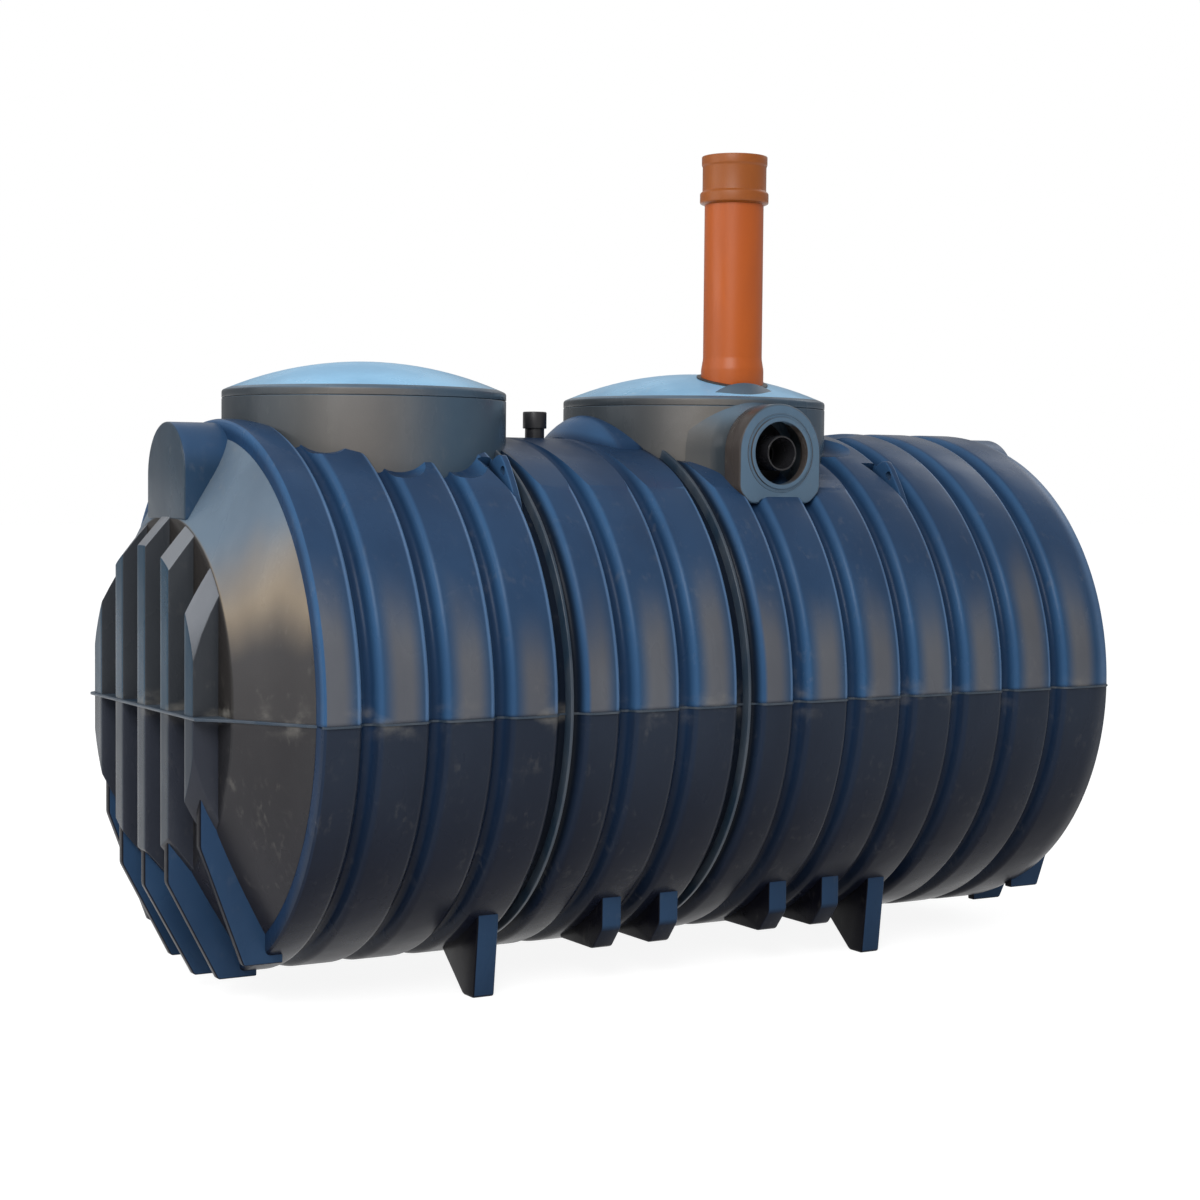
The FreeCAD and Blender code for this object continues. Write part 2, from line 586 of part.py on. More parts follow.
def neck_shoulder(form, neck_solid):
    """Arched shoulder that slopes from the far neck down to the saddle."""
    toe_radius = "(Sizes.shoulder_radius - Sizes.shoulder_slope)"
    cone = doc.addObject("Part::Cone", "shoulder_cone")
    cone.Placement = FreeCAD.Placement(Vector(), ALONG["X"])
    cone.setExpression("Radius1", toe_radius)
    cone.setExpression("Radius2", "Sizes.shoulder_radius + Sizes.shoulder_slope")
    cone.setExpression("Height", "2 * Sizes.shoulder_length")
    bind_place(cone, ("Sizes.far_neck_place - Sizes.neck_radius - Sizes.shoulder_length",
                      "0", SADDLE_TOP + " - " + toe_radius))
    sub_part(cut("shoulder_cut", cone, [form, neck_solid]), "far_neck_shoulder")


def outlet_seal():
    """Rubber seal whose flange lies on the housing face."""
    sleeve = "Sizes.port_radius - Sizes.fit_gap"
    body = turned_body("outlet_seal_ring", "XY_Plane", "V_Axis", [
        ("Sizes.seal_bore", "-(%s + Sizes.seal_flange)" % PORT_FACE),
        ("Sizes.seal_flange_radius", "-(%s + Sizes.seal_flange)" % PORT_FACE),
        ("Sizes.seal_flange_radius", "-" + PORT_FACE),
        (sleeve, "-" + PORT_FACE),
        (sleeve, "-(%s - Sizes.seal_sleeve)" % PORT_FACE),
        ("Sizes.seal_bore", "-(%s - Sizes.seal_sleeve)" % PORT_FACE),
    ])
    body.Label = "outlet_seal"
    bind_place(body, (PORT_PLACE + " + " + TANK_SHIFT, "0", PORT_HEIGHT + " + " + AXIS_HEIGHT))
    sub_parts.append(body)


def outlet_dip_pipe():
    """Tee with a collar in the neck wall and an upright pipe in the chamber."""
    mouth = "(%s - Sizes.dip_setback)" % PORT_FACE
    port = (PORT_PLACE, "-" + mouth, PORT_HEIGHT)
    reach = "(%s - %s)" % (mouth, DIP_AXIS)
    upright = (PORT_PLACE, "-" + DIP_AXIS, "-Sizes.dip_foot")
    tall = "(%s - Sizes.dip_top_drop + Sizes.dip_foot)" % RIM_HEIGHT
    collar = cylinder("dip_collar_disc", "Sizes.port_radius - Sizes.fit_gap",
                      "Sizes.dip_collar", "Y",
                      (PORT_PLACE, "-Sizes.neck_radius", PORT_HEIGHT))
    outside = fuse("dip_outside", [
        collar,
        cylinder("dip_arm", "Sizes.dip_radius", reach, "Y", port),
        cylinder("dip_upright", "Sizes.dip_radius", tall, "Z", upright),
    ])
    inside = [
        cylinder("dip_arm_bore", "Sizes.dip_bore", reach, "Y", port),
        cylinder("dip_upright_bore", "Sizes.dip_bore", tall, "Z", upright),
    ]
    sub_part(cut("dip_pipe_cut", outside, inside), "outlet_dip_pipe")


def vent_pipe():
    """Plain pipe with a socket at its top and a wider foot in the lid."""
    foot = RIM_HEIGHT + " - Sizes.vent_foot_drop"
    taper = RIM_HEIGHT + " + Sizes.flare_rise"
    socket_low = "(%s - Sizes.socket_length)" % VENT_TOP
    bead_top = "(%s + Sizes.bead_height)" % socket_low
    rim_low = "(%s - Sizes.socket_rim_height)" % VENT_TOP
    socket_floor = "(%s - Sizes.socket_depth)" % VENT_TOP
    body = turned_body("vent_pipe_turned", "XZ_Plane", "V_Axis", [
        ("Sizes.vent_bore", foot),
        ("Sizes.flare_radius", foot),
        ("Sizes.flare_radius", taper),
        ("Sizes.vent_radius", taper + " + Sizes.flare_taper"),
        ("Sizes.vent_radius", socket_low + " - Sizes.socket_slope"),
        ("Sizes.bead_radius", socket_low),
        ("Sizes.bead_radius", bead_top),
        ("Sizes.sleeve_radius", bead_top + " + Sizes.socket_slope"),
        ("Sizes.sleeve_radius", rim_low),
        ("Sizes.socket_rim_radius", rim_low + " + Sizes.socket_slope"),
        ("Sizes.socket_rim_radius", VENT_TOP),
        ("Sizes.socket_bore", VENT_TOP),
        ("Sizes.socket_bore", socket_floor),
        ("Sizes.vent_bore", socket_floor + " - Sizes.socket_slope"),
    ])
    body.Label = "vent_pipe"
    bind_place(body, (VENT_PLACE + " + " + TANK_SHIFT, "-" + VENT_OFFSET, AXIS_HEIGHT))
    sub_parts.append(body)


def vent_grommet():
    """Rubber ring between the vent pipe and the lid, level with the dome."""
    foot = (VENT_PLACE, "-" + VENT_OFFSET, RIM_HEIGHT + " + Sizes.grommet_foot_rise")
    ring = cut("grommet_ring", cylinder("grommet_disc", "Sizes.grommet_radius - Sizes.fit_gap",
                                        "2 * Sizes.lid_rise", "Z", foot),
               [cylinder("grommet_bore", "Sizes.flare_radius + Sizes.fit_gap",
                         "2 * Sizes.lid_rise", "Z", foot)])
    dome = ball("grommet_dome", DOME_RADIUS + " + Sizes.grommet_rise",
                (FAR_NECK, "0", DOME_CENTRE))
    sub_part(common("grommet_trim", ring, dome), "vent_grommet")


def breather(form):
    """Short capped breather stub on the saddle between the necks."""
    root = "Sizes.crest_radius - Sizes.groove_depth"
    tall = "Sizes.stub_height + Sizes.groove_depth - Sizes.saddle_drop"
    start = ("-" + STUB_PLACE, "0", root)
    tube = cylinder("stub_tube", "Sizes.stub_radius", tall, "Z", start)
    bore = cylinder("stub_tube_bore", "Sizes.stub_bore", tall, "Z", start)
    sub_part(cut("stub_cut", tube, [bore, form]), "breather_stub")
    top = SADDLE_TOP + " + Sizes.stub_height"
    inner = "Sizes.stub_radius + Sizes.fit_gap"
    body = turned_body("breather_cap_turned", "XZ_Plane", "V_Axis", [
        ("0", top),
        (inner, top),
        (inner, top + " + Sizes.stub_cap_top - Sizes.stub_cap_skirt"),
        ("Sizes.stub_cap_radius", top + " + Sizes.stub_cap_top - Sizes.stub_cap_skirt"),
        ("Sizes.stub_cap_radius", top + " + Sizes.stub_cap_top"),
        ("0", top + " + Sizes.stub_cap_top"),
    ])
    body.Label = "breather_cap"
    bind_place(body, ("-%s + %s" % (STUB_PLACE, TANK_SHIFT), "0", AXIS_HEIGHT))
    sub_parts.append(body)


def lug_turn(hand):
    """Turn from the top of the tank to the middle of a lug; hand is -1 for the -Y side."""
    return Rotation(Vector(1, 0, 0), -hand * amount_of("Sizes.lug_angle"))


def lug_pocket(name, edge, hand):
    """Three-sided pocket in a rib crest, deepest at its upper end beside the lug."""
    crest = amount_of("Sizes.crest_radius")
    open_side = edge - amount_of("Sizes.pocket_width")
    high = amount_of("Sizes.pocket_high")
    low = amount_of("Sizes.pocket_low")
    deep = amount_of("Sizes.pocket_depth")
    corners = [
        (edge, hand * low, (crest ** 2 - low ** 2) ** 0.5),
        (open_side, -hand * high, (crest ** 2 - high ** 2) ** 0.5),
        (edge, -hand * high, (crest ** 2 - high ** 2) ** 0.5 - deep),
    ]
    floor = Part.makePolygon([Vector(*corner) for corner in corners + corners[:1]])
    top = Part.makePolygon([Vector(x, y, crest + deep) for x, y, z in corners + corners[:1]])
    made = doc.addObject("Part::Feature", name)
    made.Shape = Part.makeLoft([floor, top], True, True)
    made.Placement = FreeCAD.Placement(Vector(), lug_turn(hand))
    return made


def lug_hole(name, edge, hand):
    """Lifting hole through a lug, along the tank."""
    made = doc.addObject("Part::Cylinder", name)
    made.setExpression("Radius", "Sizes.lug_hole_radius")
    made.setExpression("Height", "2 * Sizes.lug_plate")
    start = Vector(edge - amount_of("Sizes.lug_plate") / 2,
                   -hand * amount_of("Sizes.lug_hole_offset"),
                   amount_of("Sizes.crest_radius + Sizes.lug_hole_rise"))
    turn = lug_turn(hand)
    made.Placement = FreeCAD.Placement(turn.multVec(start), turn.multiply(ALONG["X"]))
    return made


def lifting_lugs(form):
    """Four lugs beside two ribs; gives the pockets and holes that the barrel needs."""
    hollows = []
    crest = "Sizes.crest_radius"
    for side, sign in (("near", -1), ("far", 1)):
        edge = "(%d * Sizes.carrier_pitches * Sizes.rib_pitch + %s)" % (
            sign, "(Sizes.rib_pitch - Sizes.groove_mouth) / 2")
        for face, hand in (("front", -1), ("back", 1)):
            name = "%s_%s_lug" % (side, face)
            plate = plate_body(name + "_plate", "YZ_Plane", "Sizes.lug_plate", [
                ("%d * Sizes.lug_high" % -hand, crest + " - 2 * Sizes.groove_depth"),
                ("%d * Sizes.lug_high" % -hand, crest + " - Sizes.lug_shoulder_drop"),
                ("%d * Sizes.lug_peak" % -hand, crest + " + Sizes.lug_rise"),
                ("%d * Sizes.lug_peak_end" % -hand, crest + " + Sizes.lug_rise"),
                ("%d * Sizes.lug_low" % hand, crest + " - Sizes.lug_tip_drop"),
                ("%d * Sizes.lug_low" % hand, crest + " - 2 * Sizes.groove_depth"),
            ], (edge + " + Sizes.lug_plate / 2", "0", "0"), lug_turn(hand))
            pocket = lug_pocket(name + "_pocket", amount_of(edge), hand)
            hole = lug_hole(name + "_hole", amount_of(edge), hand)
            sub_part(cut(name + "_cut", plate, [form, hole]), "%s_%s_lifting_lug" % (side, face))
            hollows.append(pocket)
            hollows.append(hole)
    return hollows


def belly_plate(label, thickness, along, hand, corners, form):
    """Foot or fin under the belly, drawn across the tank and trimmed to the ribs."""
    mark = "-" if hand < 0 else ""
    placed = [("%s(%s)" % (mark, across), up) for across, up in corners]
    plate = plate_body(label + "_plate", "YZ_Plane", thickness, placed, (along, "0", "0"))
    sub_part(cut(label + "_cut", plate, [form]), label)


def feet(form):
    """Four feet under the ribs that carry the lugs."""
    sole = "-" + AXIS_HEIGHT
    shoulder = "(Sizes.foot_shoulder_rise - Sizes.crest_radius)"
    belly = "-sqrt(Sizes.crest_radius ^ 2 - Sizes.foot_heel ^ 2)"
    corners = [
        ("Sizes.foot_inner", sole),
        ("Sizes.foot_outer", sole),
        ("Sizes.foot_shoulder", shoulder),
        ("Sizes.foot_shoulder", shoulder + " + Sizes.root_overlap"),
        ("Sizes.foot_heel", belly + " + Sizes.root_overlap"),
        ("Sizes.foot_heel", belly),
    ]
    for side, sign in (("near", -1), ("far", 1)):
        along = "%d * Sizes.carrier_pitches * Sizes.rib_pitch" % sign
        for face, hand in (("front", -1), ("back", 1)):
            belly_plate("%s_%s_foot" % (side, face), "Sizes.foot_thickness", along, hand,
                        corners, form)


def keel_fins(form):
    """Fins under four middle ribs, on both sides of the belly."""
    edge = "(Sizes.keel_rise - Sizes.crest_radius)"
    shoulder = "(Sizes.keel_shoulder_rise - Sizes.crest_radius)"
    corners = [
        ("Sizes.keel_heel", edge),
        ("Sizes.keel_toe", edge),
        ("Sizes.keel_shoulder", shoulder),
        ("Sizes.keel_shoulder", shoulder + " + 2 * Sizes.root_overlap"),
        ("Sizes.keel_heel", edge + " + Sizes.root_overlap"),
    ]
    for number, pitches in enumerate((-1.5, -0.5, 1.5, 2.5), start=1):
        along = "%r * Sizes.rib_pitch" % pitches
        for face, hand in (("front", -1), ("back", 1)):
            belly_plate("%s_keel_fin_%d" % (face, number), "Sizes.keel_thickness", along, hand,
                        corners, form)


def saddle_tool(barrel):
    """What the saddle between the necks takes off the ribs."""
    half = "Sizes.saddle_pitches * Sizes.rib_pitch"
    slab = block("saddle_slab", ("-" + half, "-Sizes.saddle_half", "0"),
                 ("2 * " + half, "2 * Sizes.saddle_half", "Sizes.crest_radius"))
    arc = cylinder("saddle_arc", SADDLE_RADIUS, "2 * " + half, "X",
                   ("-" + half, "0", "%s - %s" % (SADDLE_TOP, SADDLE_RADIUS)))
    return cut("saddle_cut", common("saddle_solid", barrel, slab), [arc])


def neck_opening(side, place, radius):
    """Upright cylinder at a neck, from the axis to above the rim."""
    return cylinder(side, radius, RIM_HEIGHT + " + Sizes.lid_rise", "Z", (place, "0", "0"))


def build():
    """Draw the whole tank and list its sub-parts."""
    fill_sheet()
    whole_barrel = barrel_form()
    barrel = cut("saddled_barrel", whole_barrel, [saddle_tool(whole_barrel)])
    near_slots = end_slots("near", -1, NEAR_FRONT)
    far_slots = end_slots("far", 1, FAR_FRONT)
    form = cut("tank_form", barrel, [near_slots, far_slots])
    chamber = cylinder("chamber", CHAMBER_RADIUS, NEAR_FRONT + " + " + FAR_FRONT, "X",
                       ("-" + NEAR_FRONT, "0", "0"))
    wall_form = cut("barrel_wall", barrel, [chamber])
    bore = "Sizes.neck_radius - Sizes.neck_wall"
    openings = [neck_opening("near_neck_opening", NEAR_NECK, bore),
                neck_opening("far_neck_opening", FAR_NECK, bore)]
    port = cylinder("port_opening", "Sizes.port_radius", PORT_FACE, "Y",
                    (PORT_PLACE, "-" + PORT_FACE, PORT_HEIGHT))
    shell = cut("barrel_shell", wall_form, openings + lifting_lugs(form) + [port])
    section("near_shell", shell, "-" + NEAR_REACH, NEAR_REACH + " + " + NEAR_JOINT)
    section("middle_shell", shell, NEAR_JOINT, "%s - %s" % (MIDDLE_JOINT, NEAR_JOINT))
    section("far_shell", shell, MIDDLE_JOINT, "%s - %s" % (FAR_SPLIT, MIDDLE_JOINT))
    section("far_end_shell", shell, FAR_SPLIT, "%s - %s" % (FAR_REACH, FAR_SPLIT))
    near_solid = neck_opening("near_neck_solid", NEAR_NECK, "Sizes.neck_radius")
    far_solid = neck_opening("far_neck_solid", FAR_NECK, "Sizes.neck_radius")
    joint_band("near_joint_band", NEAR_JOINT, near_solid)
    joint_band("middle_joint_band", MIDDLE_JOINT, far_solid)
    end_cap("near", -1, NEAR_REACH, NEAR_BASE, NEAR_FRONT, near_slots)
    end_cap("far", 1, FAR_REACH, FAR_BASE, FAR_FRONT, far_slots)
    end_blades("near", -1, NEAR_FRONT, form)
    end_blades("far", 1, FAR_FRONT, form)
    seam_flange("near", -1, NEAR_REACH, NEAR_BASE, NEAR_FRONT, form)
    seam_flange("far", 1, FAR_REACH, FAR_BASE, FAR_FRONT, form)
    inlet_boss("near", -1, NEAR_FRONT, form)
    inlet_boss("far", 1, FAR_FRONT, form)
    neck("near", NEAR_NECK, [form])
    neck("far", FAR_NECK, [form, port])
    lid("near", NEAR_NECK, [])
    vent_hole = cylinder("vent_hole", "Sizes.grommet_radius", "Sizes.lid_rise * 2", "Z",
                         (VENT_PLACE, "-" + VENT_OFFSET, RIM_HEIGHT))
    lid("far", FAR_NECK, [vent_hole])
    outlet_housing(form, port, far_solid)
    neck_shoulder(form, far_solid)
    outlet_seal()
    outlet_dip_pipe()
    vent_pipe()
    vent_grommet()
    breather(form)
    feet(form)
    keel_fins(form)
    doc.recompute()


def check_document():
    """Stop on any object that failed or any sub-part without a sound shape."""
    for thing in doc.Objects:
        if "Invalid" in thing.State or "Error" in thing.State:
            raise RuntimeError("%s did not recompute: %s" % (thing.Name, thing.State))
    for piece in sub_parts:
        if piece.Shape.isNull() or not piece.Shape.isValid() or not piece.Shape.Solids:
            raise RuntimeError("%s has no sound shape" % piece.Label)


def write_parts():
    """Write each sub-part to its own file."""
    os.makedirs("parts", exist_ok=True)
    for piece in sub_parts:
        piece.Shape.exportStep("parts/%s.step" % piece.Label)
        print("%-26s solids %d  volume %.4f m3  box %s" % (
            piece.Label, len(piece.Shape.Solids), piece.Shape.Volume / 1e9,
            " ".join("%.0f" % edge for edge in (
                piece.Shape.BoundBox.XMin, piece.Shape.BoundBox.XMax,
                piece.Shape.BoundBox.YMin, piece.Shape.BoundBox.YMax,
                piece.Shape.BoundBox.ZMin, piece.Shape.BoundBox.ZMax))))


build()
check_document()
write_parts()
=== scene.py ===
import logging
import math
from dataclasses import dataclass
from enum import Enum
from typing import Callable, Optional, Sequence

import bpy
from mathutils import Matrix, Vector


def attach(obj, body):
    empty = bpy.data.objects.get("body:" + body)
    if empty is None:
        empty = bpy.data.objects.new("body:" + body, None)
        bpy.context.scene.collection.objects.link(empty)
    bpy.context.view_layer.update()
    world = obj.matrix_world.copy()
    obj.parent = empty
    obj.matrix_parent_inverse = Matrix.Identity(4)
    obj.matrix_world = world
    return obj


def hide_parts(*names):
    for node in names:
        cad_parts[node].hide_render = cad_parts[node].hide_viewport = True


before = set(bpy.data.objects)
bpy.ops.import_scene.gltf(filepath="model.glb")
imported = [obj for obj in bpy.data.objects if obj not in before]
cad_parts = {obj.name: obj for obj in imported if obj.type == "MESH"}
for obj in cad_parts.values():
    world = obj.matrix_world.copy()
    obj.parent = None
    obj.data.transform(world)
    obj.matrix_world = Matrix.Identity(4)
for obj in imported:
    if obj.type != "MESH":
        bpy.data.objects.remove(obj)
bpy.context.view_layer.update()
LOG = logging.getLogger("septic_tank")

MM = 0.001
TANK_SHIFT = -35.0
AXIS_HEIGHT = 742.0
BODY = "root"
TOUCH = 1e-5
SOFT_SEGMENTS = 3
SOFT_ANGLE = 35.0
ARCH_STEPS = 48
BARREL_STEPS = 192
PIPE_STEPS = 128
TUBE_STEPS = 96
STUB_STEPS = 64
PLAY = 0.3
SEAM_MIDDLE = -13.7
SEAM_FALL = 0.0055
RIB_PITCH = 171.0
CREST = 690.0
GROOVE_FLOOR = 656.0
JOINT_MIDDLES = (16.0, -497.0)
NEAR_REACH = 1143.0
FAR_REACH = 1213.0
FAR_BASE = 676.0
NEAR_NECK = -731.0
FAR_NECK = 278.0
NECK_RADIUS = 365.0
PORT_PLACE = 250.0
PORT_HEIGHT = 622.0
PORT_RADIUS = 87.0
PORT_FACE = 468.0
CHAMBER_BORE = 644.0
WAY_FOOT = 300.0
NECK_PORT = (400.0, 200.0)
LID_HOLE_FOOT = 700.0
LID_HOLE_LENGTH = 300.0
LID_HOLE_RADIUS = 97.0
GROMMET_LIFT = 4.0
VENT_PLACE = 276.0
VENT_OFFSET = -195.0
CARRIER = 598.5

Triple = tuple[float, float, float]
Corner = Triple
Piece = bpy.types.Object
Skin = bpy.types.Material
Socket = bpy.types.NodeSocket
Tree = bpy.types.NodeTree


class Axis(Enum):
    """Direction that a piece is turned about."""

    ALONG = (1.0, 0.0, 0.0)
    ACROSS = (0.0, 1.0, 0.0)
    UPRIGHT = (0.0, 0.0, 1.0)


class End(Enum):
    """End of the tank, with the sign of its X side."""

    NEAR = -1
    FAR = 1

    @property
    def label(self) -> str:
        """Its name as the nodes have it."""
        return self.name.lower()


class Slot(Enum):
    """Material slots of the record."""

    BODY = "black_polyethylene"
    LID = "blue_polyethylene"
    PIPE = "orange_pvc"
    RUBBER = "black_rubber"
    BLACK = "black_plastic"


def at(x: float, y: float, z: float) -> Vector:
    """Point in metres of the frame.

    Args:
        x: Millimetres from the middle groove of the barrel.
        y: Millimetres across the tank.
        z: Millimetres above the tank's axis.

    Returns:
        The same point in the frame's metres.
    """
    return Vector((x + TANK_SHIFT, y, z + AXIS_HEIGHT)) * MM


def seam_level(x: float) -> float:
    """Height of the mould seam over the tank's axis at a place along the tank."""
    return SEAM_MIDDLE + SEAM_FALL * x


def rest_tools() -> None:
    """Leave edit mode and drop the whole selection."""
    if bpy.context.mode != "OBJECT":
        bpy.ops.object.mode_set(mode="OBJECT")
    bpy.ops.object.select_all(action="DESELECT")


def take(*pieces: Piece) -> None:
    """Select only these pieces, the first one active.

    Args:
        *pieces: Mesh objects.
    """
    rest_tools()
    for piece in pieces:
        piece.select_set(True)
    bpy.context.view_layer.objects.active = pieces[0]


def edit(piece: Piece) -> None:
    """Open a piece in edit mode with all of its vertices selected.

    Args:
        piece: Mesh object.
    """
    take(piece)
    bpy.ops.object.mode_set(mode="EDIT")
    bpy.ops.mesh.select_mode(type="VERT")
    bpy.ops.mesh.select_all(action="SELECT")


def close_edit(piece: Piece) -> None:
    """Leave edit mode and put the piece's place into its mesh.

    Args:
        piece: Mesh object in edit mode.
    """
    bpy.ops.object.mode_set(mode="OBJECT")
    take(piece)
    bpy.ops.object.transform_apply(location=True, rotation=True, scale=True)


def select_points(piece: Piece, chosen: Callable[[Vector], bool]) -> None:
    """Select the vertices that a test picks, from object mode.

    Args:
        piece: Mesh object.
        chosen: Test of a vertex's place.
    """
    mesh = piece.data
    mesh.polygons.foreach_set("select", [False] * len(mesh.polygons))
    mesh.edges.foreach_set("select", [False] * len(mesh.edges))
    mesh.vertices.foreach_set("select", [chosen(vertex.co) for vertex in mesh.vertices])


def named(name: str) -> Piece:
    """Active object, with a new name for it and its data.

    Args:
        name: The new name.

    Returns:
        The object.
    """
    piece = bpy.context.active_object
    piece.name = name
    piece.data.name = name
    return piece


def chain(name: str, corners: Sequence[Vector], closed: bool) -> Piece:
    """Line of edges drawn from corner to corner.

    Args:
        name: Name of the new piece.
        corners: Points in metres, in order.
        closed: Whether the last corner joins the first.

    Returns:
        The new mesh object.
    """
    rest_tools()
    bpy.ops.mesh.primitive_plane_add(size=1.0, location=corners[0])
    piece = named(name)
    edit(piece)
    bpy.ops.mesh.merge(type="CENTER")
    for start, stop in zip(corners, corners[1:]):
        bpy.ops.mesh.extrude_vertices_move(TRANSFORM_OT_translate={"value": stop - start})
    close_edit(piece)
    if closed:
        ends = (corners[0], corners[-1])
        select_points(piece, lambda place: min((place - end).length for end in ends) < TOUCH)
        bpy.ops.object.mode_set(mode="EDIT")
        bpy.ops.mesh.edge_face_add()
        bpy.ops.object.mode_set(mode="OBJECT")
    return piece


def round_corners(piece: Piece, corners: Sequence[Vector],
                  roundings: Sequence[float], segments: int = 3) -> None:
    """Round the corners of a chain or flat face.

    Args:
        piece: Mesh object.
        corners: Its corners, in metres.
        roundings: Setback of each corner's rounding in millimetres, 0 for none.
        segments: Segments of a rounding.
    """
    for setback in sorted(set(roundings) - {0}, reverse=True):
        group = [corner for corner, own in zip(corners, roundings) if own == setback]
        select_points(piece, lambda place: min((place - corner).length for corner in group) < TOUCH)
        take(piece)
        bpy.ops.object.mode_set(mode="EDIT")
        bpy.ops.mesh.select_mode(type="VERT")
        bpy.ops.mesh.bevel(offset=setback * MM, segments=segments, affect="VERTICES",
                           clamp_overlap=True)
        bpy.ops.object.mode_set(mode="OBJECT")


def tidy_mesh(piece: Piece) -> None:
    """Merge double vertices and turn all faces outwards.

    Args:
        piece: Mesh object.
    """
    edit(piece)
    bpy.ops.mesh.remove_doubles(threshold=TOUCH)
    bpy.ops.mesh.select_all(action="SELECT")
    bpy.ops.mesh.normals_make_consistent(inside=False)
    close_edit(piece)


def turned(name: str, axis: Axis, centre: Triple,
           profile: Sequence[Corner], steps: int = 160, closed: bool = True) -> Piece:
    """Body turned from a profile.

    Args:
        name: Name of the new piece.
        axis: Direction of the turning axis.
        centre: Point of the axis in tank millimetres, from which the profile is measured.
        profile: (place along the axis, radius, rounding) of each corner in millimetres.
        steps: Steps of the turn.
        closed: False where the profile starts and ends on the axis.

    Returns:
        The new mesh object.
    """
    out = {Axis.ALONG: Vector((0, 0, 1)), Axis.ACROSS: Vector((1, 0, 0)),
           Axis.UPRIGHT: Vector((1, 0, 0))}[axis]
    return spun(name, at(*centre), Vector(axis.value), out, profile, closed, steps)


def spun(name: str, origin: Vector, along: Vector, out: Vector, profile: Sequence[Corner],
         closed: bool, steps: int) -> Piece:
    """Body turned about any line.

    Args:
        name: Name of the new piece.
        origin: Point of the line, in metres.
        along: Direction of the line.
        out: Direction across it in which the profile is drawn.
        profile: (place along the line, radius, rounding) of each corner in millimetres.
        closed: False where the profile starts and ends on the line.
        steps: Steps of the turn.

    Returns:
        The new mesh object.
    """
    corners = [origin + (along * level + out * radius) * MM for level, radius, _ in profile]
    piece = chain(name, corners, closed)
    round_corners(piece, corners, [rounding for _, _, rounding in profile])
    edit(piece)
    bpy.ops.mesh.spin(steps=steps, angle=math.tau, center=origin, axis=along)
    close_edit(piece)
    tidy_mesh(piece)
    return piece


def slab(name: str, corners: Sequence[Vector], push: Vector,
         roundings: Optional[Sequence[float]] = None) -> Piece:
    """Flat outline extruded into a plate.

    Args:
        name: Name of the new piece.
        corners: Outline in metres.
        push: Thickness and direction in metres.
        roundings: Rounding of each corner in millimetres.

    Returns:
        The new mesh object.
    """
    piece = chain(name, corners, True)
    edit(piece)
    bpy.ops.mesh.edge_face_add()
    close_edit(piece)
    if roundings:
        round_corners(piece, corners, roundings, 6)
    edit(piece)
    bpy.ops.mesh.extrude_region_move(TRANSFORM_OT_translate={"value": push})
    close_edit(piece)
    tidy_mesh(piece)
    return piece


def lofted(name: str, loops: Sequence[Sequence[Vector]]) -> Piece:
    """Closed solid bridged between two or more outlines.

    Args:
        name: Name of the new piece.
        loops: Outlines in metres, all with the same number of corners.

    Returns:
        The new mesh object.
    """
    rings = [chain("%s_ring_%d" % (name, index), loop, True) for index, loop in enumerate(loops)]
    take(*rings)
    bpy.ops.object.join()
    piece = named(name)
    edit(piece)
    bpy.ops.mesh.bridge_edge_loops()
    bpy.ops.mesh.select_all(action="SELECT")
    bpy.ops.mesh.fill_holes(sides=0)
    close_edit(piece)
    tidy_mesh(piece)
    return piece


def soften(piece: Piece, width: float) -> None:
    """Round the sharp edges of a piece, as a mould leaves them.

    Args:
        piece: Mesh object.
        width: Width of the rounding in millimetres.
    """
    take(piece)
    bevel = piece.modifiers.new("soft_edges", "BEVEL")
    bevel.width = width * MM
    bevel.segments = SOFT_SEGMENTS
    bevel.limit_method = "ANGLE"
    bevel.angle_limit = math.radians(SOFT_ANGLE)
    bpy.ops.object.modifier_apply(modifier=bevel.name)


def carve(piece: Piece, tools: Sequence[Piece], operation: str = "DIFFERENCE") -> None:
    """Cut a piece with others, which are used up.

    Args:
        piece: Mesh object to cut.
        tools: Closed mesh objects.
        operation: Kind of boolean.
    """
    for tool in tools:
        take(piece)
        boolean = piece.modifiers.new("carve", "BOOLEAN")
        boolean.operation = operation
        boolean.solver = "EXACT"
        boolean.object = tool
        bpy.ops.object.modifier_apply(modifier=boolean.name)
        take(tool)
        bpy.ops.object.delete()


def joined(name: str, pieces: Sequence[Piece]) -> Piece:
    """Several pieces as one object.

    Args:
        name: Name of the new piece.
        pieces: Mesh objects, which are used up.

    Returns:
        The joined object.
    """
    take(*pieces)
    bpy.ops.object.join()
    return named(name)


def copied(piece: Piece, name: str, shift: float, mirrored: bool) -> Piece:
    """Copy of a piece with its own mesh.

    Args:
        piece: Piece to copy.
        name: Name of the copy.
        shift: Millimetres to move it along the tank.
        mirrored: Whether it goes to the other side of the tank.

    Returns:
        The copy.
    """
    take(piece)
    bpy.ops.object.duplicate()
    twin = named(name)
    twin.location.x = shift * MM
    if mirrored:
        twin.scale.y = -1.0
    bpy.ops.object.transform_apply(location=True, rotation=True, scale=True)
    if mirrored:
        tidy_mesh(twin)
    return twin


def rod(name: str, axis: Axis, start: Triple, length: float,
        radius: float, steps: int = 96) -> Piece:
    """Plain closed cylinder used as a cutter.

    Args:
        name: Name of the new piece.
        axis: Direction of its axis.
        start: Centre of its first end in tank millimetres.
        length: Length in millimetres.
        radius: Radius in millimetres.
        steps: Sides of the cylinder.

    Returns:
        The new mesh object.
    """
    return turned(name, axis, start, [(0, 0, 0), (0, radius, 0), (length, radius, 0),
                                      (length, 0, 0)], steps, False)


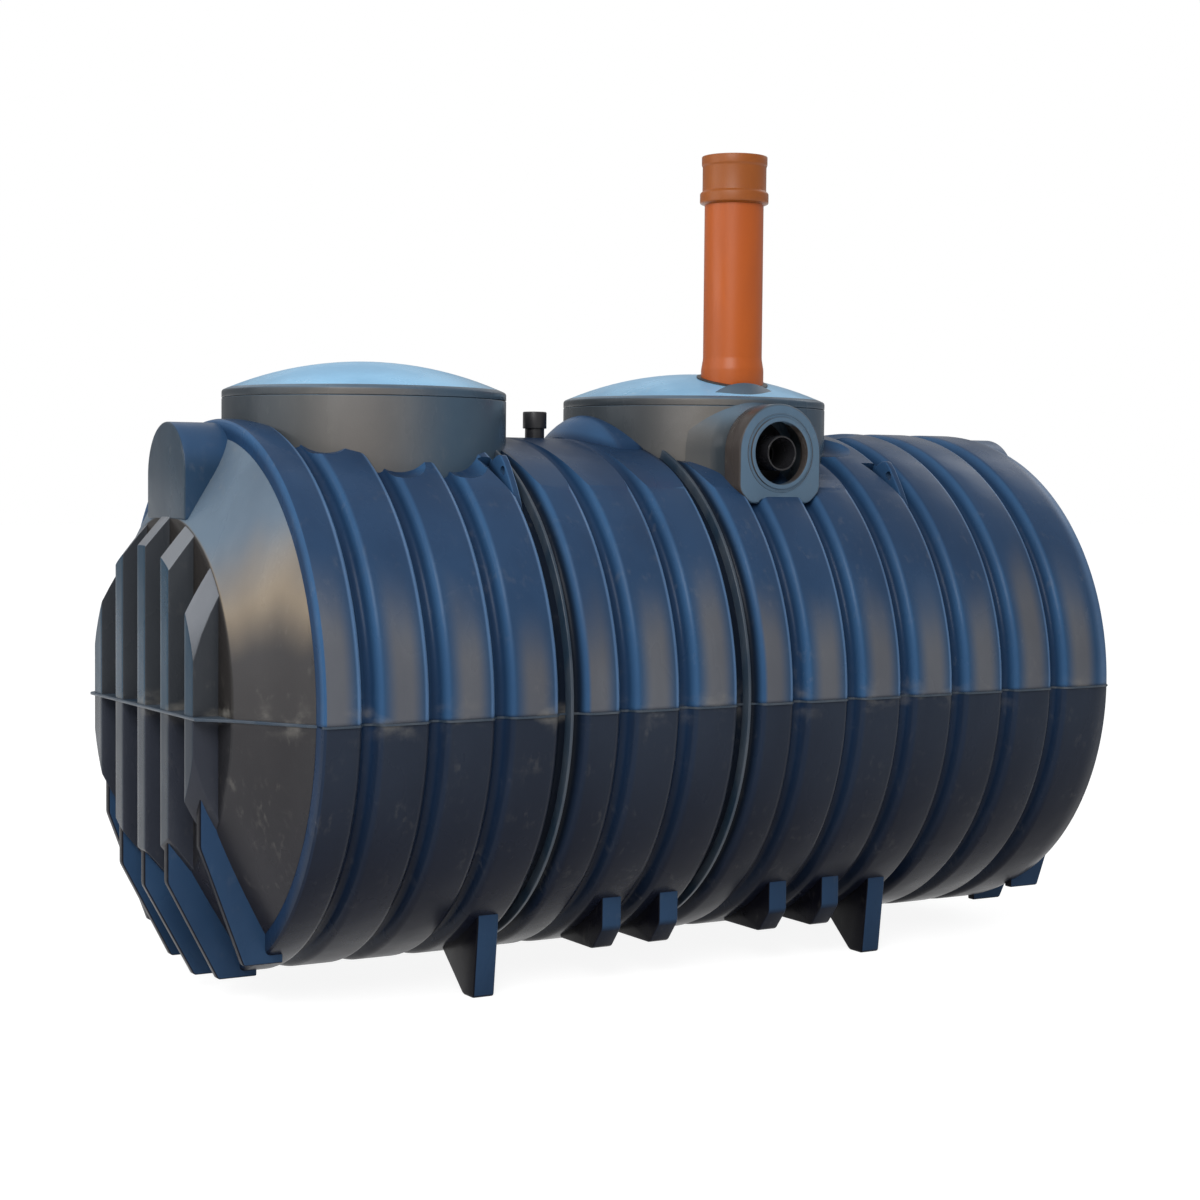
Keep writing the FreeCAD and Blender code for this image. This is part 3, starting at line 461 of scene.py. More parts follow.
def pipe_piece(name: str, axis: Axis, centre: Triple, levels: tuple[float, float],
               radii: tuple[float, float], steps: int,
               roundings: tuple[float, float] = (0.0, 0.0)) -> Piece:
    """Piece of pipe or ring.

    Args:
        name: Name of the new piece.
        axis: Direction of its axis.
        centre: Point that its ends are measured from.
        levels: Places of its two ends.
        radii: Inner and outer radius.
        steps: Steps of the turn.
        roundings: Rounding of the edges at each end.

    Returns:
        The new mesh object.
    """
    (low, high), (inner, outer) = levels, radii
    first, last = roundings
    return turned(name, axis, centre, [(low, inner, first), (low, outer, first),
                                       (high, outer, last), (high, inner, last)], steps)


def port_cutter(out: float, length: float) -> Piece:
    """Cutter for the outlet's port, which starts at a distance out and runs inwards."""
    return rod("port_way", Axis.ACROSS, (PORT_PLACE, -out, PORT_HEIGHT), length, PORT_RADIUS)


def arch(middle: float, height: float, radius: float) -> list[tuple[float, float]]:
    """Half circle from one side over the top to the other.

    Args:
        middle: Its middle along the way it spans.
        height: Height of its feet.
        radius: Its radius.

    Returns:
        Points of (place, height).
    """
    turns = [math.pi * step / ARCH_STEPS for step in range(ARCH_STEPS + 1)]
    return [(middle - radius * math.cos(turn), height + radius * math.sin(turn)) for turn in turns]


def deliver(piece: Piece, material: Skin, *nodes: str, slot: Slot = Slot.BODY,
            angle: float = 32.0) -> None:
    """Shade a finished piece, dress it, put it under the tank's body and hide the CAD nodes that it
    replaces.

    Args:
        piece: Finished mesh object.
        material: Its material.
        *nodes: CAD nodes that it replaces.
        slot: Slot of the record; not used.
        angle: Largest angle that is shaded smooth, in degrees.
    """
    take(piece)
    bpy.ops.object.shade_smooth_by_angle(angle=math.radians(angle))
    piece.data.materials.clear()
    piece.data.materials.append(material)
    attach(piece, BODY)
    if nodes:
        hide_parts(*nodes)
    LOG.info("%s: %d faces", piece.name, len(piece.data.polygons))


class NodeBench:
    """Adds shader nodes to a tree and wires them."""

    def __init__(self, tree: Tree) -> None:
        """Work on this tree."""
        self.tree = tree

    def add(self, kind: str, **settings: object) -> bpy.types.Node:
        """Add a node.

        Args:
            kind: Type name of the node.
            **settings: Its own settings by name.

        Returns:
            The new node.
        """
        node = self.tree.nodes.new(kind)
        for name, value in settings.items():
            setattr(node, name, value)
        return node

    def feed(self, target: Socket, value: object) -> None:
        """Wire a socket into an input, or write a plain value there.

        Args:
            target: Input to fill.
            value: Output socket, number, vector or colour.
        """
        if isinstance(value, bpy.types.NodeSocket):
            self.tree.links.new(value, target)
        elif target.type == "RGBA":
            target.default_value = (*value, 1.0)
        else:
            target.default_value = value

    def group(self, tree: Tree, values: dict[str, object]) -> bpy.types.NodeOutputs:
        """Add a group node.

        Args:
            tree: The group.
            values: What goes into its inputs, by their names.

        Returns:
            Its outputs.
        """
        node = self.add("ShaderNodeGroup", node_tree=tree)
        for label, value in values.items():
            self.feed(node.inputs[label], value)
        return node.outputs

    def calculate(self, operation: str, *values: object, clamp: bool = False) -> Socket:
        """Result of a math node.

        Args:
            operation: Kind of sum.
            *values: Sockets or numbers for its inputs.
            clamp: Whether the result is held between 0 and 1.

        Returns:
            The result.
        """
        node = self.add("ShaderNodeMath", operation=operation, use_clamp=clamp)
        for socket, value in zip(node.inputs, values):
            self.feed(socket, value)
        return node.outputs[0]

    def inverse(self, value: Socket) -> Socket:
        """One minus a value."""
        return self.calculate("SUBTRACT", 1.0, value)

    def ease(self, *parts: object) -> Socket:
        """Smooth step from one level to another.

        Args:
            *parts: The value, its low and high level, and what comes out at each, 0 and 1 if
                they are left out.

        Returns:
            The result.
        """
        node = self.add("ShaderNodeMapRange", interpolation_type="SMOOTHSTEP")
        for socket, part in zip(node.inputs, parts):
            self.feed(socket, part)
        return node.outputs[0]

    def blend(self, factor: object, first: object, second: object, mode: str = "MIX") -> Socket:
        """Mix of two colours.

        Args:
            factor: Share of the second colour.
            first: First colour.
            second: Second colour.
            mode: Kind of mix.

        Returns:
            The mixed colour.
        """
        node = self.add("ShaderNodeMix", data_type="RGBA", blend_type=mode)
        for index, value in ((0, factor), (6, first), (7, second)):
            self.feed(node.inputs[index], value)
        return node.outputs[2]

    def split(self, vector: Socket) -> Sequence[Socket]:
        """The three parts of a vector.

        Args:
            vector: Socket of the vector.

        Returns:
            Sockets of its X, Y and Z.
        """
        node = self.add("ShaderNodeSeparateXYZ")
        self.feed(node.inputs[0], vector)
        return node.outputs

    def noise(self, vector: Socket, scale: object, detail: float,
              stretch: Triple = (1.0, 1.0, 1.0)) -> Socket:
        """Noise on object coordinates.

        Args:
            vector: The coordinates.
            scale: Scale of the noise.
            detail: Its detail.
            stretch: Scale of the coordinates along each axis.

        Returns:
            The noise between 0 and 1.
        """
        mapping = self.add("ShaderNodeMapping")
        node = self.add("ShaderNodeTexNoise")
        for socket, value in ((mapping.inputs["Vector"], vector),
                              (mapping.inputs["Scale"], stretch),
                              (node.inputs["Vector"], mapping.outputs[0]),
                              (node.inputs["Scale"], scale), (node.inputs["Detail"], detail)):
            self.feed(socket, value)
        return node.outputs["Fac"]


FLOAT = "NodeSocketFloat"
COLOUR = "NodeSocketColor"
# Inputs of the painted light group: tones of painted sky and ground reflection, painted edge
# highlight and painted shade, and the levels where each fades in.
PAINTED_LIGHT_COLOURS = ("Top", "Side", "Stripe", "End", "Edge", "Groove", "Low Side", "Low End", "Under")
PAINTED_LIGHT_LEVELS = ("Top From", "Top To", "End From", "End To", "Edge From", "Edge To",
               "Stripe Amount", "Stripe Across", "Stripe Reach", "Groove Amount")
# The first colour here is painted shade for the floors of the two joint grooves; the rest set where
# painted shade in the grooves, below the seam and underneath fades in, where the painted reflection
# stripe on each rib lies, and how unevenly the painted sky reflection ends.
JOINT_SHADE = (0.005, 0.007, 0.011)
JOINT_FADE = (0.036, 0.050)
SEAM_REACH = 0.05
SEAM_FADE = (-0.004, 0.012)
GROOVE_FADE = ((GROOVE_FLOOR + 4) * MM, (CREST - 6) * MM)
LOW_GROOVE = 0.8
UNDER_FADE = (0.0, 0.75)
RIB_FADE = (0.08, 0.34)
STRIPE_CORE = 0.4
CLOUD = (2.2, 3.0, (1.0, 1.0, 0.35))
DRIFT = 0.5
WAVES = (7.0, 2.0)
PEEL = (260.0, 2.0)
SMUDGE = (6.0, (1.0, 1.0, 0.4))
SMUDGE_LEVELS = (0.3, 0.7)
BLOTCH = (9.0, 8.0, (1.0, 1.0, 1.6))
BLOTCH_LEVELS = (0.48, 0.74)
FLECKS = (60.0, 6.0, (1.0, 1.0, 0.5))
FLECK_LEVELS = (0.5, 0.72)


def new_group(name: str, inputs: Sequence[tuple[str, str, object]],
              outputs: Sequence[tuple[str, str]]
              ) -> tuple[NodeBench, bpy.types.NodeOutputs, bpy.types.NodeInputs]:
    """Empty shader node group with named sockets.

    Args:
        name: Name of the group.
        inputs: (name, socket kind, default) of each input.
        outputs: (name, socket kind) of each output.

    Returns:
        A bench that works on the group, what it is given and what it results in.
    """
    tree = bpy.data.node_groups.new(name, "ShaderNodeTree")
    for label, kind, value in inputs:
        socket = tree.interface.new_socket(name=label, in_out="INPUT", socket_type=kind)
        socket.default_value = value
    for label, kind in outputs:
        tree.interface.new_socket(name=label, in_out="OUTPUT", socket_type=kind)
    bench = NodeBench(tree)
    return bench, bench.add("NodeGroupInput").outputs, bench.add("NodeGroupOutput").inputs


def painted_light_group() -> Tree:
    """Colour of moulded plastic with painted light, by the way a surface faces: painted sky
    reflection on top, painted reflections and highlights on the flanks, a painted reflection stripe
    near the seam, and painted shade in the grooves, below the seam and underneath.

    Returns:
        The new group.
    """
    inputs = [(label, COLOUR, (0.0, 0.0, 0.0, 1.0)) for label in PAINTED_LIGHT_COLOURS]
    inputs += [(label, FLOAT, 0.0) for label in PAINTED_LIGHT_LEVELS]
    bench, given, result = new_group("painted_light_tint", inputs, [("Color", COLOUR)])
    calculate, ease, blend, inverse = bench.calculate, bench.ease, bench.blend, bench.inverse
    place = bench.add("ShaderNodeTexCoord").outputs
    facing_x, _, up = bench.split(place["Normal"])
    along, across, height = bench.split(place["Object"])
    over_axis = calculate("SUBTRACT", height, AXIS_HEIGHT * MM)
    seam = calculate("MULTIPLY_ADD", along, SEAM_FALL, (SEAM_MIDDLE - SEAM_FALL * TANK_SHIFT) * MM)
    over_seam = calculate("SUBTRACT", over_axis, seam)
    cloud = bench.noise(place["Object"], *CLOUD)
    drift = calculate("SUBTRACT", cloud, 0.5)
    # Painted sky reflection on surfaces that face up.
    facing_top = ease(calculate("MULTIPLY_ADD", drift, DRIFT, up), given["Top From"], given["Top To"])
    # Painted reflection on flanks that face -X, and a painted highlight on flanks that face +X.
    facing_end = ease(calculate("MULTIPLY", facing_x, -1.0), given["End From"], given["End To"])
    facing_lee = ease(facing_x, given["Edge From"], given["Edge To"])
    # Painted reflection stripe down the middle of each rib near the seam.
    turns = calculate("DIVIDE", calculate("SUBTRACT", along, TANK_SHIFT * MM), RIB_PITCH * MM)
    off_rib = calculate("ABSOLUTE", calculate("SUBTRACT", calculate("FRACT", turns), 0.5))
    off_stripe = calculate("MULTIPLY", ease(off_rib, *RIB_FADE), given["Stripe Across"])
    ragged = calculate("MULTIPLY_ADD", drift, DRIFT, over_seam)
    full = calculate("MULTIPLY", given["Stripe Reach"], STRIPE_CORE)
    low = inverse(ease(ragged, full, given["Stripe Reach"]))
    stripe = calculate("MULTIPLY", inverse(off_stripe),
                       calculate("MULTIPLY", low, given["Stripe Amount"]))
    # Painted shade in the grooves, by radius from the axis.
    reach = bench.add("ShaderNodeVectorMath", operation="LENGTH")
    flat = bench.add("ShaderNodeCombineXYZ")
    bench.feed(flat.inputs[1], across)
    bench.feed(flat.inputs[2], over_axis)
    bench.feed(reach.inputs[0], flat.outputs[0])
    groove_shade = inverse(ease(reach.outputs["Value"], *GROOVE_FADE))
    groove_shade = calculate("MULTIPLY", groove_shade, given["Groove Amount"])
    # Painted shade, near black, on the floors of the two joint grooves.
    off_joints = [calculate("ABSOLUTE", calculate("SUBTRACT", along, (TANK_SHIFT + joint) * MM))
                  for joint in JOINT_MIDDLES]
    joint = inverse(ease(calculate("MINIMUM", *off_joints), *JOINT_FADE))
    joint = calculate("MULTIPLY", joint, groove_shade)
    # Upper half: painted sky reflection, reflection stripe, flank reflection, edge highlight and
    # groove shade over the side tone.
    above = blend(facing_top, given["Side"], given["Top"])
    above = blend(stripe, above, given["Stripe"])
    above = blend(facing_end, above, given["End"])
    above = blend(facing_lee, above, given["Edge"])
    above = blend(groove_shade, above, given["Groove"])
    # Lower half: painted shade, darker in the grooves and darkest on surfaces that face down.
    below = blend(facing_end, given["Low Side"], given["Low End"])
    below = blend(calculate("MULTIPLY", groove_shade, LOW_GROOVE), below, given["Groove"])
    below = blend(ease(calculate("MULTIPLY", up, -1.0), *UNDER_FADE), below, given["Under"])
    halves = blend(ease(over_seam, *SEAM_FADE), below, above)
    bench.feed(result["Color"], blend(joint, halves, JOINT_SHADE))
    return bench.tree


def moulded_group() -> Tree:
    """Surface of rotationally moulded plastic: slow waves, fine peel and smudges.

    Returns:
        The new group.
    """
    bench, given, result = new_group("moulded_skin", [
        ("Wave", FLOAT, 0.5), ("Peel", FLOAT, 0.1), ("Smudge Scale", FLOAT, 5.0),
    ], [("Height", FLOAT), ("Smudge", FLOAT)])
    place = bench.add("ShaderNodeTexCoord").outputs["Object"]
    waves = bench.calculate("MULTIPLY", bench.noise(place, *WAVES), given["Wave"])
    peel = bench.calculate("MULTIPLY", bench.noise(place, *PEEL), given["Peel"])
    bench.feed(result["Height"], bench.calculate("ADD", waves, peel))
    smudge = bench.noise(place, given["Smudge Scale"], *SMUDGE)
    bench.feed(result["Smudge"], bench.ease(smudge, *SMUDGE_LEVELS))
    return bench.tree


def scuff_group() -> Tree:
    """Pale scuffs: thick along the mould seam, thin elsewhere.

    Returns:
        The new group.
    """
    bench, given, result = new_group("scuff_marks", [
        ("Seam Amount", FLOAT, 0.8), ("Amount", FLOAT, 0.15)], [("Mask", FLOAT)])
    calculate, ease = bench.calculate, bench.ease
    place = bench.add("ShaderNodeTexCoord").outputs["Object"]
    height = bench.split(place)[2]
    off_seam = calculate("ABSOLUTE", calculate("SUBTRACT", height, (AXIS_HEIGHT + SEAM_MIDDLE) * MM))
    near_seam = bench.inverse(ease(off_seam, 0.0, SEAM_REACH))
    blotch = ease(bench.noise(place, *BLOTCH), *BLOTCH_LEVELS)
    fine = ease(bench.noise(place, *FLECKS), *FLECK_LEVELS)
    seam_marks = calculate("MULTIPLY", calculate("MULTIPLY", near_seam, blotch),
                           given["Seam Amount"])
    loose = calculate("MULTIPLY", calculate("MULTIPLY", blotch, fine), given["Amount"])
    bench.feed(result["Mask"], calculate("ADD", seam_marks, loose, clamp=True))
    return bench.tree


@dataclass(frozen=True, kw_only=True)
class Finish:
    """Skin of plastic or rubber: smudges, slow waves and a fine peel."""

    name: str
    roughness: tuple[float, float] = (0.3, 0.45)
    specular: float = 0.4
    wave: float = 0.3
    peel: float = 0.05
    bump: float = 0.002
    smudge_scale: float = 6.0

    def dress(self, bench: NodeBench, smudge: Socket,
              groups: dict[str, Tree]) -> tuple[Socket, Socket]:
        """Colour and roughness of the finish.

        Args:
            bench: Bench on the material's nodes.
            smudge: Mask of the smudges.
            groups: Shared node groups by name.

        Returns:
            Sockets of the colour and the roughness.
        """
        raise NotImplementedError

    def make(self, groups: dict[str, Tree]) -> Skin:
        """Build the material.

        Args:
            groups: Shared node groups by name.

        Returns:
            The new material.
        """
        material = bpy.data.materials.new(self.name)
        material.use_nodes = True
        bench = NodeBench(material.node_tree)
        relief = bench.group(groups["moulded_skin"], {
            "Wave": self.wave, "Peel": self.peel, "Smudge Scale": self.smudge_scale})
        bump = bench.add("ShaderNodeBump")
        bench.feed(bump.inputs["Distance"], self.bump)
        bench.feed(bump.inputs["Height"], relief["Height"])
        colour, roughness = self.dress(bench, relief["Smudge"], groups)
        shader = material.node_tree.nodes["Principled BSDF"]
        for label, value in (("Specular IOR Level", self.specular), ("Base Color", colour),
                             ("Roughness", roughness), ("Normal", bump.outputs["Normal"])):
            bench.feed(shader.inputs[label], value)
        return material


@dataclass(frozen=True, kw_only=True)
class PaintedLightFinish(Finish):
    """Glossy dark polyethylene with painted reflections, highlights and shade, tuned for one part of
    the tank.
    """

    # Top is a painted sky reflection, end and edge are painted reflections and highlights on the
    # flanks, stripe is a painted reflection band near the seam, and groove, low side, low end and
    # under are painted shade; side is the base tone.
    top: Triple = (0.021, 0.048, 0.102)
    side: Triple = (0.024, 0.061, 0.126)
    end: Triple = (0.030, 0.080, 0.168)
    edge: Triple = (0.085, 0.165, 0.300)
    low_side: Triple = (0.018, 0.025, 0.040)
    low_end: Triple = (0.013, 0.023, 0.045)
    under: Triple = (0.006, 0.008, 0.017)
    stripe: Triple = (0.104, 0.106, 0.114)
    groove: Triple = (0.009, 0.026, 0.064)
    top_from: float = 0.1
    top_to: float = 0.6
    end_from: float = 0.2
    end_to: float = 0.6
    edge_from: float = 0.1
    edge_to: float = 0.42
    stripe_amount: float = 0.0
    stripe_across: float = 1.0
    stripe_reach: float = 0.42
    groove_amount: float = 0.0
    roughness: tuple[float, float] = (0.24, 0.36)
    specular: float = 0.15
    scuffs: float = 0.12
    seam_scuffs: float = 0.5
    scuff_tone: Triple = (0.20, 0.19, 0.17)
    scuff_roughness: float = 0.3
    smudge_tone: Triple = (0.78, 0.78, 0.80)
    wave: float = 0.6
    bump: float = 0.004
    smudge_scale: float = 5.0

    def dress(self, bench: NodeBench, smudge: Socket,
              groups: dict[str, Tree]) -> tuple[Socket, Socket]:
        """Colour with painted reflections, highlights and shade by the way the surface faces, with
        smudges and scuffs.

        Args:
            bench: Bench on the material's nodes.
            smudge: Mask of the smudges.
            groups: Shared node groups by name.

        Returns:
            Sockets of the colour and the roughness.
        """
        tint = bench.group(groups["painted_light_tint"], {
            label: getattr(self, label.lower().replace(" ", "_"))
            for label in PAINTED_LIGHT_COLOURS + PAINTED_LIGHT_LEVELS})["Color"]
        marks = bench.group(groups["scuff_marks"], {
            "Amount": self.scuffs, "Seam Amount": self.seam_scuffs})["Mask"]
        dulled = bench.blend(1.0, tint, self.smudge_tone, "MULTIPLY")
        smooth = bench.ease(smudge, 0.0, 1.0, *self.roughness)
        return (bench.blend(marks, bench.blend(smudge, tint, dulled), self.scuff_tone),
                bench.calculate("MULTIPLY_ADD", marks, self.scuff_roughness, smooth))


@dataclass(frozen=True, kw_only=True)
class PlainFinish(Finish):
    """Plastic or rubber of one colour."""

    colour: Triple
    second: Triple

    def dress(self, bench: NodeBench, smudge: Socket,
              groups: dict[str, Tree]) -> tuple[Socket, Socket]:
        """Mix of two near colours by the smudges.

        Args:
            bench: Bench on the material's nodes.
            smudge: Mask of the smudges.
            groups: Shared node groups, of which it needs no more.

        Returns:
            Sockets of the colour and the roughness.
        """
        return (bench.blend(smudge, self.colour, self.second),
                bench.ease(smudge, 0.0, 1.0, *self.roughness))


# The facing tones of the moulded entries are painted light: lighter tops are painted sky reflection,
# the tan and brown-grey sides of the cone, ribs and neck are painted ground reflection, the pale
# edges are painted highlights, and the dark lows, unders, grooves, slot-floor ends and the cone's
# band at the seam are painted shade. The plain entries have the parts' own colours.
FINISHES = {
    "barrel": PaintedLightFinish(
        name="barrel_plastic", stripe_amount=0.9, stripe_reach=0.38, groove_amount=0.85,
        specular=0.08),
    "cone": PaintedLightFinish(
        name="cone_plastic", top=(0.090, 0.128, 0.170), side=(0.205, 0.165, 0.118),
        end=(0.020, 0.018, 0.017), edge=(0.05, 0.10, 0.18), low_side=(0.028, 0.027, 0.029),
        low_end=(0.016, 0.016, 0.018), under=(0.012, 0.012, 0.018), stripe=(0.034, 0.034, 0.037),
        top_from=0.20, top_to=0.46, end_from=0.90, end_to=0.97, stripe_amount=0.95,
        stripe_across=0.0, stripe_reach=0.27, seam_scuffs=0.8, scuffs=0.25),
    "rib": PaintedLightFinish(
        name="end_rib_plastic", top=(0.135, 0.145, 0.160), side=(0.034, 0.038, 0.044),
        end=(0.008, 0.032, 0.058), edge=(0.03, 0.05, 0.08), low_side=(0.030, 0.034, 0.046),
        low_end=(0.012, 0.020, 0.032), under=(0.020, 0.021, 0.026), top_from=0.12, top_to=0.34,
        end_from=0.80, end_to=0.94, seam_scuffs=0.6),
    "boss": PaintedLightFinish(
        name="boss_plastic", top=(0.026, 0.065, 0.135), side=(0.018, 0.045, 0.088),
        end=(0.026, 0.042, 0.060), edge=(0.02, 0.04, 0.08), seam_scuffs=0.0),
    "foot": PaintedLightFinish(
        name="foot_plastic", low_side=(0.024, 0.054, 0.110), low_end=(0.004, 0.004, 0.007),
        under=(0.008, 0.009, 0.016), seam_scuffs=0.0, specular=0.05),
    "neck": PaintedLightFinish(
        name="neck_plastic", top=(0.09, 0.13, 0.17), side=(0.130, 0.122, 0.112),
        end=(0.032, 0.040, 0.047), edge=(0.042, 0.070, 0.102), end_from=0.50, end_to=0.96,
        edge_from=-0.45, edge_to=0.25, scuffs=0.1, seam_scuffs=0.0),
    "lid": PaintedLightFinish(
        name="lid_plastic", top=(0.215, 0.440, 0.645), side=(0.06, 0.12, 0.18),
        end=(0.07, 0.15, 0.22), edge=(0.08, 0.14, 0.20), top_from=0.4, top_to=0.95,
        scuffs=0.25, seam_scuffs=0.0, scuff_tone=(0.5, 0.52, 0.52)),
    "outlet": PaintedLightFinish(
        name="outlet_plastic", top=(0.06, 0.085, 0.11), side=(0.085, 0.14, 0.20),
        end=(0.050, 0.042, 0.038), edge=(0.05, 0.07, 0.10), scuffs=0.2, seam_scuffs=0.0),
    "seam": PlainFinish(
        name="seam_plastic", colour=(0.013, 0.028, 0.048), second=(0.040, 0.052, 0.068),
        smudge_scale=14.0),
    "pipe": PlainFinish(
        name="pipe_plastic", colour=(0.38, 0.076, 0.006), second=(0.33, 0.064, 0.005),
        roughness=(0.34, 0.46)),
    "socket": PlainFinish(
        name="socket_plastic", colour=(0.265, 0.068, 0.005), second=(0.225, 0.056, 0.004),
        roughness=(0.34, 0.46)),
    "rubber": PlainFinish(
        name="rubber", colour=(0.014, 0.014, 0.016), second=(0.03, 0.03, 0.03),
        roughness=(0.4, 0.6)),
    "stub": PlainFinish(
        name="stub_plastic", colour=(0.010, 0.010, 0.012), second=(0.02, 0.02, 0.022),
        roughness=(0.2, 0.4)),
}


@dataclass
class Barrel:
    """Ribbed barrel in three sections, with its joint bands and mould seam."""

    bore: float = 605.0
    half_mouth: float = 25.0
    half_floor: float = 12.0
    crest_round: float = 13.0
    floor_round: float = 10.0
    far_crest: float = 1172.0
    far_round: float = 20.0
    near_joint: float = -493.0
    middle_joint: float = 20.0
    joint_floor: float = 44.0
    joint_mouth: float = 57.0
    neck_bore: float = 351.0
    way_length: float = 500.0
    port_length: float = 300.0
    band_outline: tuple[Corner, ...] = ((-8, -4, 0), (-8, 0, 0), (-4, 22, 2))
    seam_rise: float = 3.0
    seam_half: float = 2.5
    seam_depth: float = 6.0
    saddle_reach: float = 513.0
    saddle_half: float = 450.0
    saddle_top: float = 659.0
    saddle_roof: float = 40.0
    saddle_steps: int = 24
    scoop_radius: float = 115.0
    scoop_depth: float = 27.0
    scoop_offset: float = 44.0
    scoop_reach: float = 135.0
    scoop_clear: float = 38.0
    scoop_steps: int = 12
    lee_scoop: float = 722.0
    shade_angle: float = 28.0

    def grooves(self, first: int, last: int) -> list[Corner]:
        """Corners of several grooves, counted from the middle one.

        Args:
            first: Number of the first groove.
            last: Number of the last one.

        Returns:
            The corners in order.
        """
        half = [(self.half_mouth, CREST, self.crest_round),
                (self.half_floor, GROOVE_FLOOR, self.floor_round)]
        sides = [(-off, *rest) for off, *rest in half] + half[::-1]
        return [(number * RIB_PITCH + off, radius, rounding)
                for number in range(first, last + 1) for off, radius, rounding in sides]

    def joint(self, plane: float) -> tuple[list[Corner], list[Corner]]:
        """Corners from a rib down to a joint plane, and up again to the next rib.

        Args:
            plane: Place of the joint along the tank.

        Returns:
            Corners down to the joint, and those up from it.
        """
        centre = plane - self.middle_joint
        floor = (plane, GROOVE_FLOOR, 0)
        down = [(centre + off, *rest) for off, *rest in self.grooves(0, 0)[:2]]
        return [*down, floor], [floor, (centre + self.joint_floor, GROOVE_FLOOR, self.floor_round),
                                (centre + self.joint_mouth, CREST, self.crest_round)]

    def outsides(self) -> list[list[Corner]]:
        """Outsides of the near, the middle and the far section.

        Returns:
            The corners of each.
        """
        near_down, near_up = self.joint(self.near_joint)
        middle_down, middle_up = self.joint(self.middle_joint)
        return [[(-NEAR_REACH, CREST, self.crest_round), *self.grooves(-6, -4), *near_down],
                [*near_up, *self.grooves(-2, -1), *middle_down],
                [*middle_up, *self.grooves(1, 6), (self.far_crest, CREST, self.far_round),
                 (FAR_REACH, FAR_BASE, 0)]]

    def section(self, name: str, outside: list[Corner]) -> Piece:
        """One section with its plain bore."""
        profile = [(outside[0][0], self.bore, 0), *outside, (outside[-1][0], self.bore, 0)]
        return turned(name, Axis.ALONG, (0, 0, 0), profile, BARREL_STEPS)

    def opening(self, centre: float) -> Piece:
        """Cutter for the way into a neck."""
        return rod("neck_way", Axis.UPRIGHT, (centre, 0, WAY_FOOT), self.way_length, self.neck_bore)

    def band(self, name: str, joint: float) -> Piece:
        """Narrow raised band in a joint groove.

        Args:
            name: Name of the new piece.
            joint: Place of the joint along the tank.

        Returns:
            The ring.
        """
        profile = [(joint + off, GROOVE_FLOOR + rise, rounding)
                   for off, rise, rounding in self.band_outline]
        profile += [(joint - off, GROOVE_FLOOR + rise, rounding)
                    for off, rise, rounding in self.band_outline[::-1]]
        return turned(name, Axis.ALONG, (0, 0, 0), profile, BARREL_STEPS)

    def seam(self, name: str, side: int) -> Piece:
        """Thin flash line that the mould leaves along one side.

        Args:
            name: Name of the new piece.
            side: -1 for the outlet side, 1 for the other.

        Returns:
            The thin strip.
        """
        near, middle, far = self.outsides()
        outside = [*near[:-1], *middle[1:-1], *far[1:]]
        corners = [at(x, side * (radius + self.seam_rise), seam_level(x) - self.seam_half)
                   for x, radius, _ in outside]
        corners += [at(x, side * (GROOVE_FLOOR - self.seam_depth), seam_level(x) - self.seam_half)
                    for x in (FAR_REACH, -NEAR_REACH)]
        roundings = [rounding for _, _, rounding in outside] + [0, 0]
        return slab(name, corners, Vector((0, 0, 2 * self.seam_half * MM)), roundings)

    def saddle(self) -> Piece:
        """Cutter for the low deck between the necks.

        Returns:
            The closed cutter.
        """
        edge = math.sqrt(CREST ** 2 - self.saddle_half ** 2)
        rise = self.saddle_top - edge
        radius = (self.saddle_half ** 2 + rise ** 2) / (2 * rise)
        middle = self.saddle_top - radius
        steps = self.saddle_steps
        across = [self.saddle_half * step / steps for step in range(-steps, steps + 1)]
        deck = [(y, middle + math.sqrt(radius ** 2 - y ** 2)) for y in across]
        deck += [(y, CREST + self.saddle_roof) for y in (self.saddle_half, -self.saddle_half)]
        return slab("saddle", [at(-self.saddle_reach, y, z) for y, z in deck],
                    Vector((2 * self.saddle_reach * MM, 0, 0)))

    def scoop(self, along: float, across: float, reach: float) -> Piece:
        """Spindle that hollows a groove and the rib beside it where they meet a neck.

        Args:
            along: Its middle along the tank.
            across: Its middle from the tank's axis, negative at the outlet side.
            reach: Half its length round the barrel.

        Returns:
            The closed cutter.
        """
        lean = math.asin(across / CREST)
        out = Vector((0, math.sin(lean), math.cos(lean)))
        round_barrel = Vector((0, math.cos(lean), -math.sin(lean)))
        middle = at(along, 0, 0) + out * (CREST + self.scoop_radius - self.scoop_depth) * MM
        steps = self.scoop_steps
        turns = [math.pi * step / (2 * steps) for step in range(-steps, steps + 1)]
        profile = [(reach * math.sin(turn), self.scoop_radius * math.cos(turn), 0.0)
                   for turn in turns]
        return spun("scoop", middle, round_barrel, out, profile, False, 4 * steps)

    def scoops(self, low: float, high: float) -> list[Piece]:
        """Cutters of a section for the hollows round the necks.

        Args:
            low: Near end of the section.
            high: Far end of the section.

        Returns:
            The cutters.
        """
        made = []
        for neck in (NEAR_NECK, FAR_NECK):
            for number in range(-6, 5):
                along = number * RIB_PITCH + self.scoop_offset
                off_neck = abs(along - neck)
                if off_neck < NECK_RADIUS - self.scoop_clear and low < along < high:
                    across = math.sqrt(NECK_RADIUS ** 2 - off_neck ** 2)
                    made += [self.scoop(along, side * across, self.scoop_reach)
                             for side in (-1, 1)]
        if low < self.lee_scoop < high:
            made.append(self.scoop(self.lee_scoop, 0.0, 2 * self.scoop_reach))
        return made

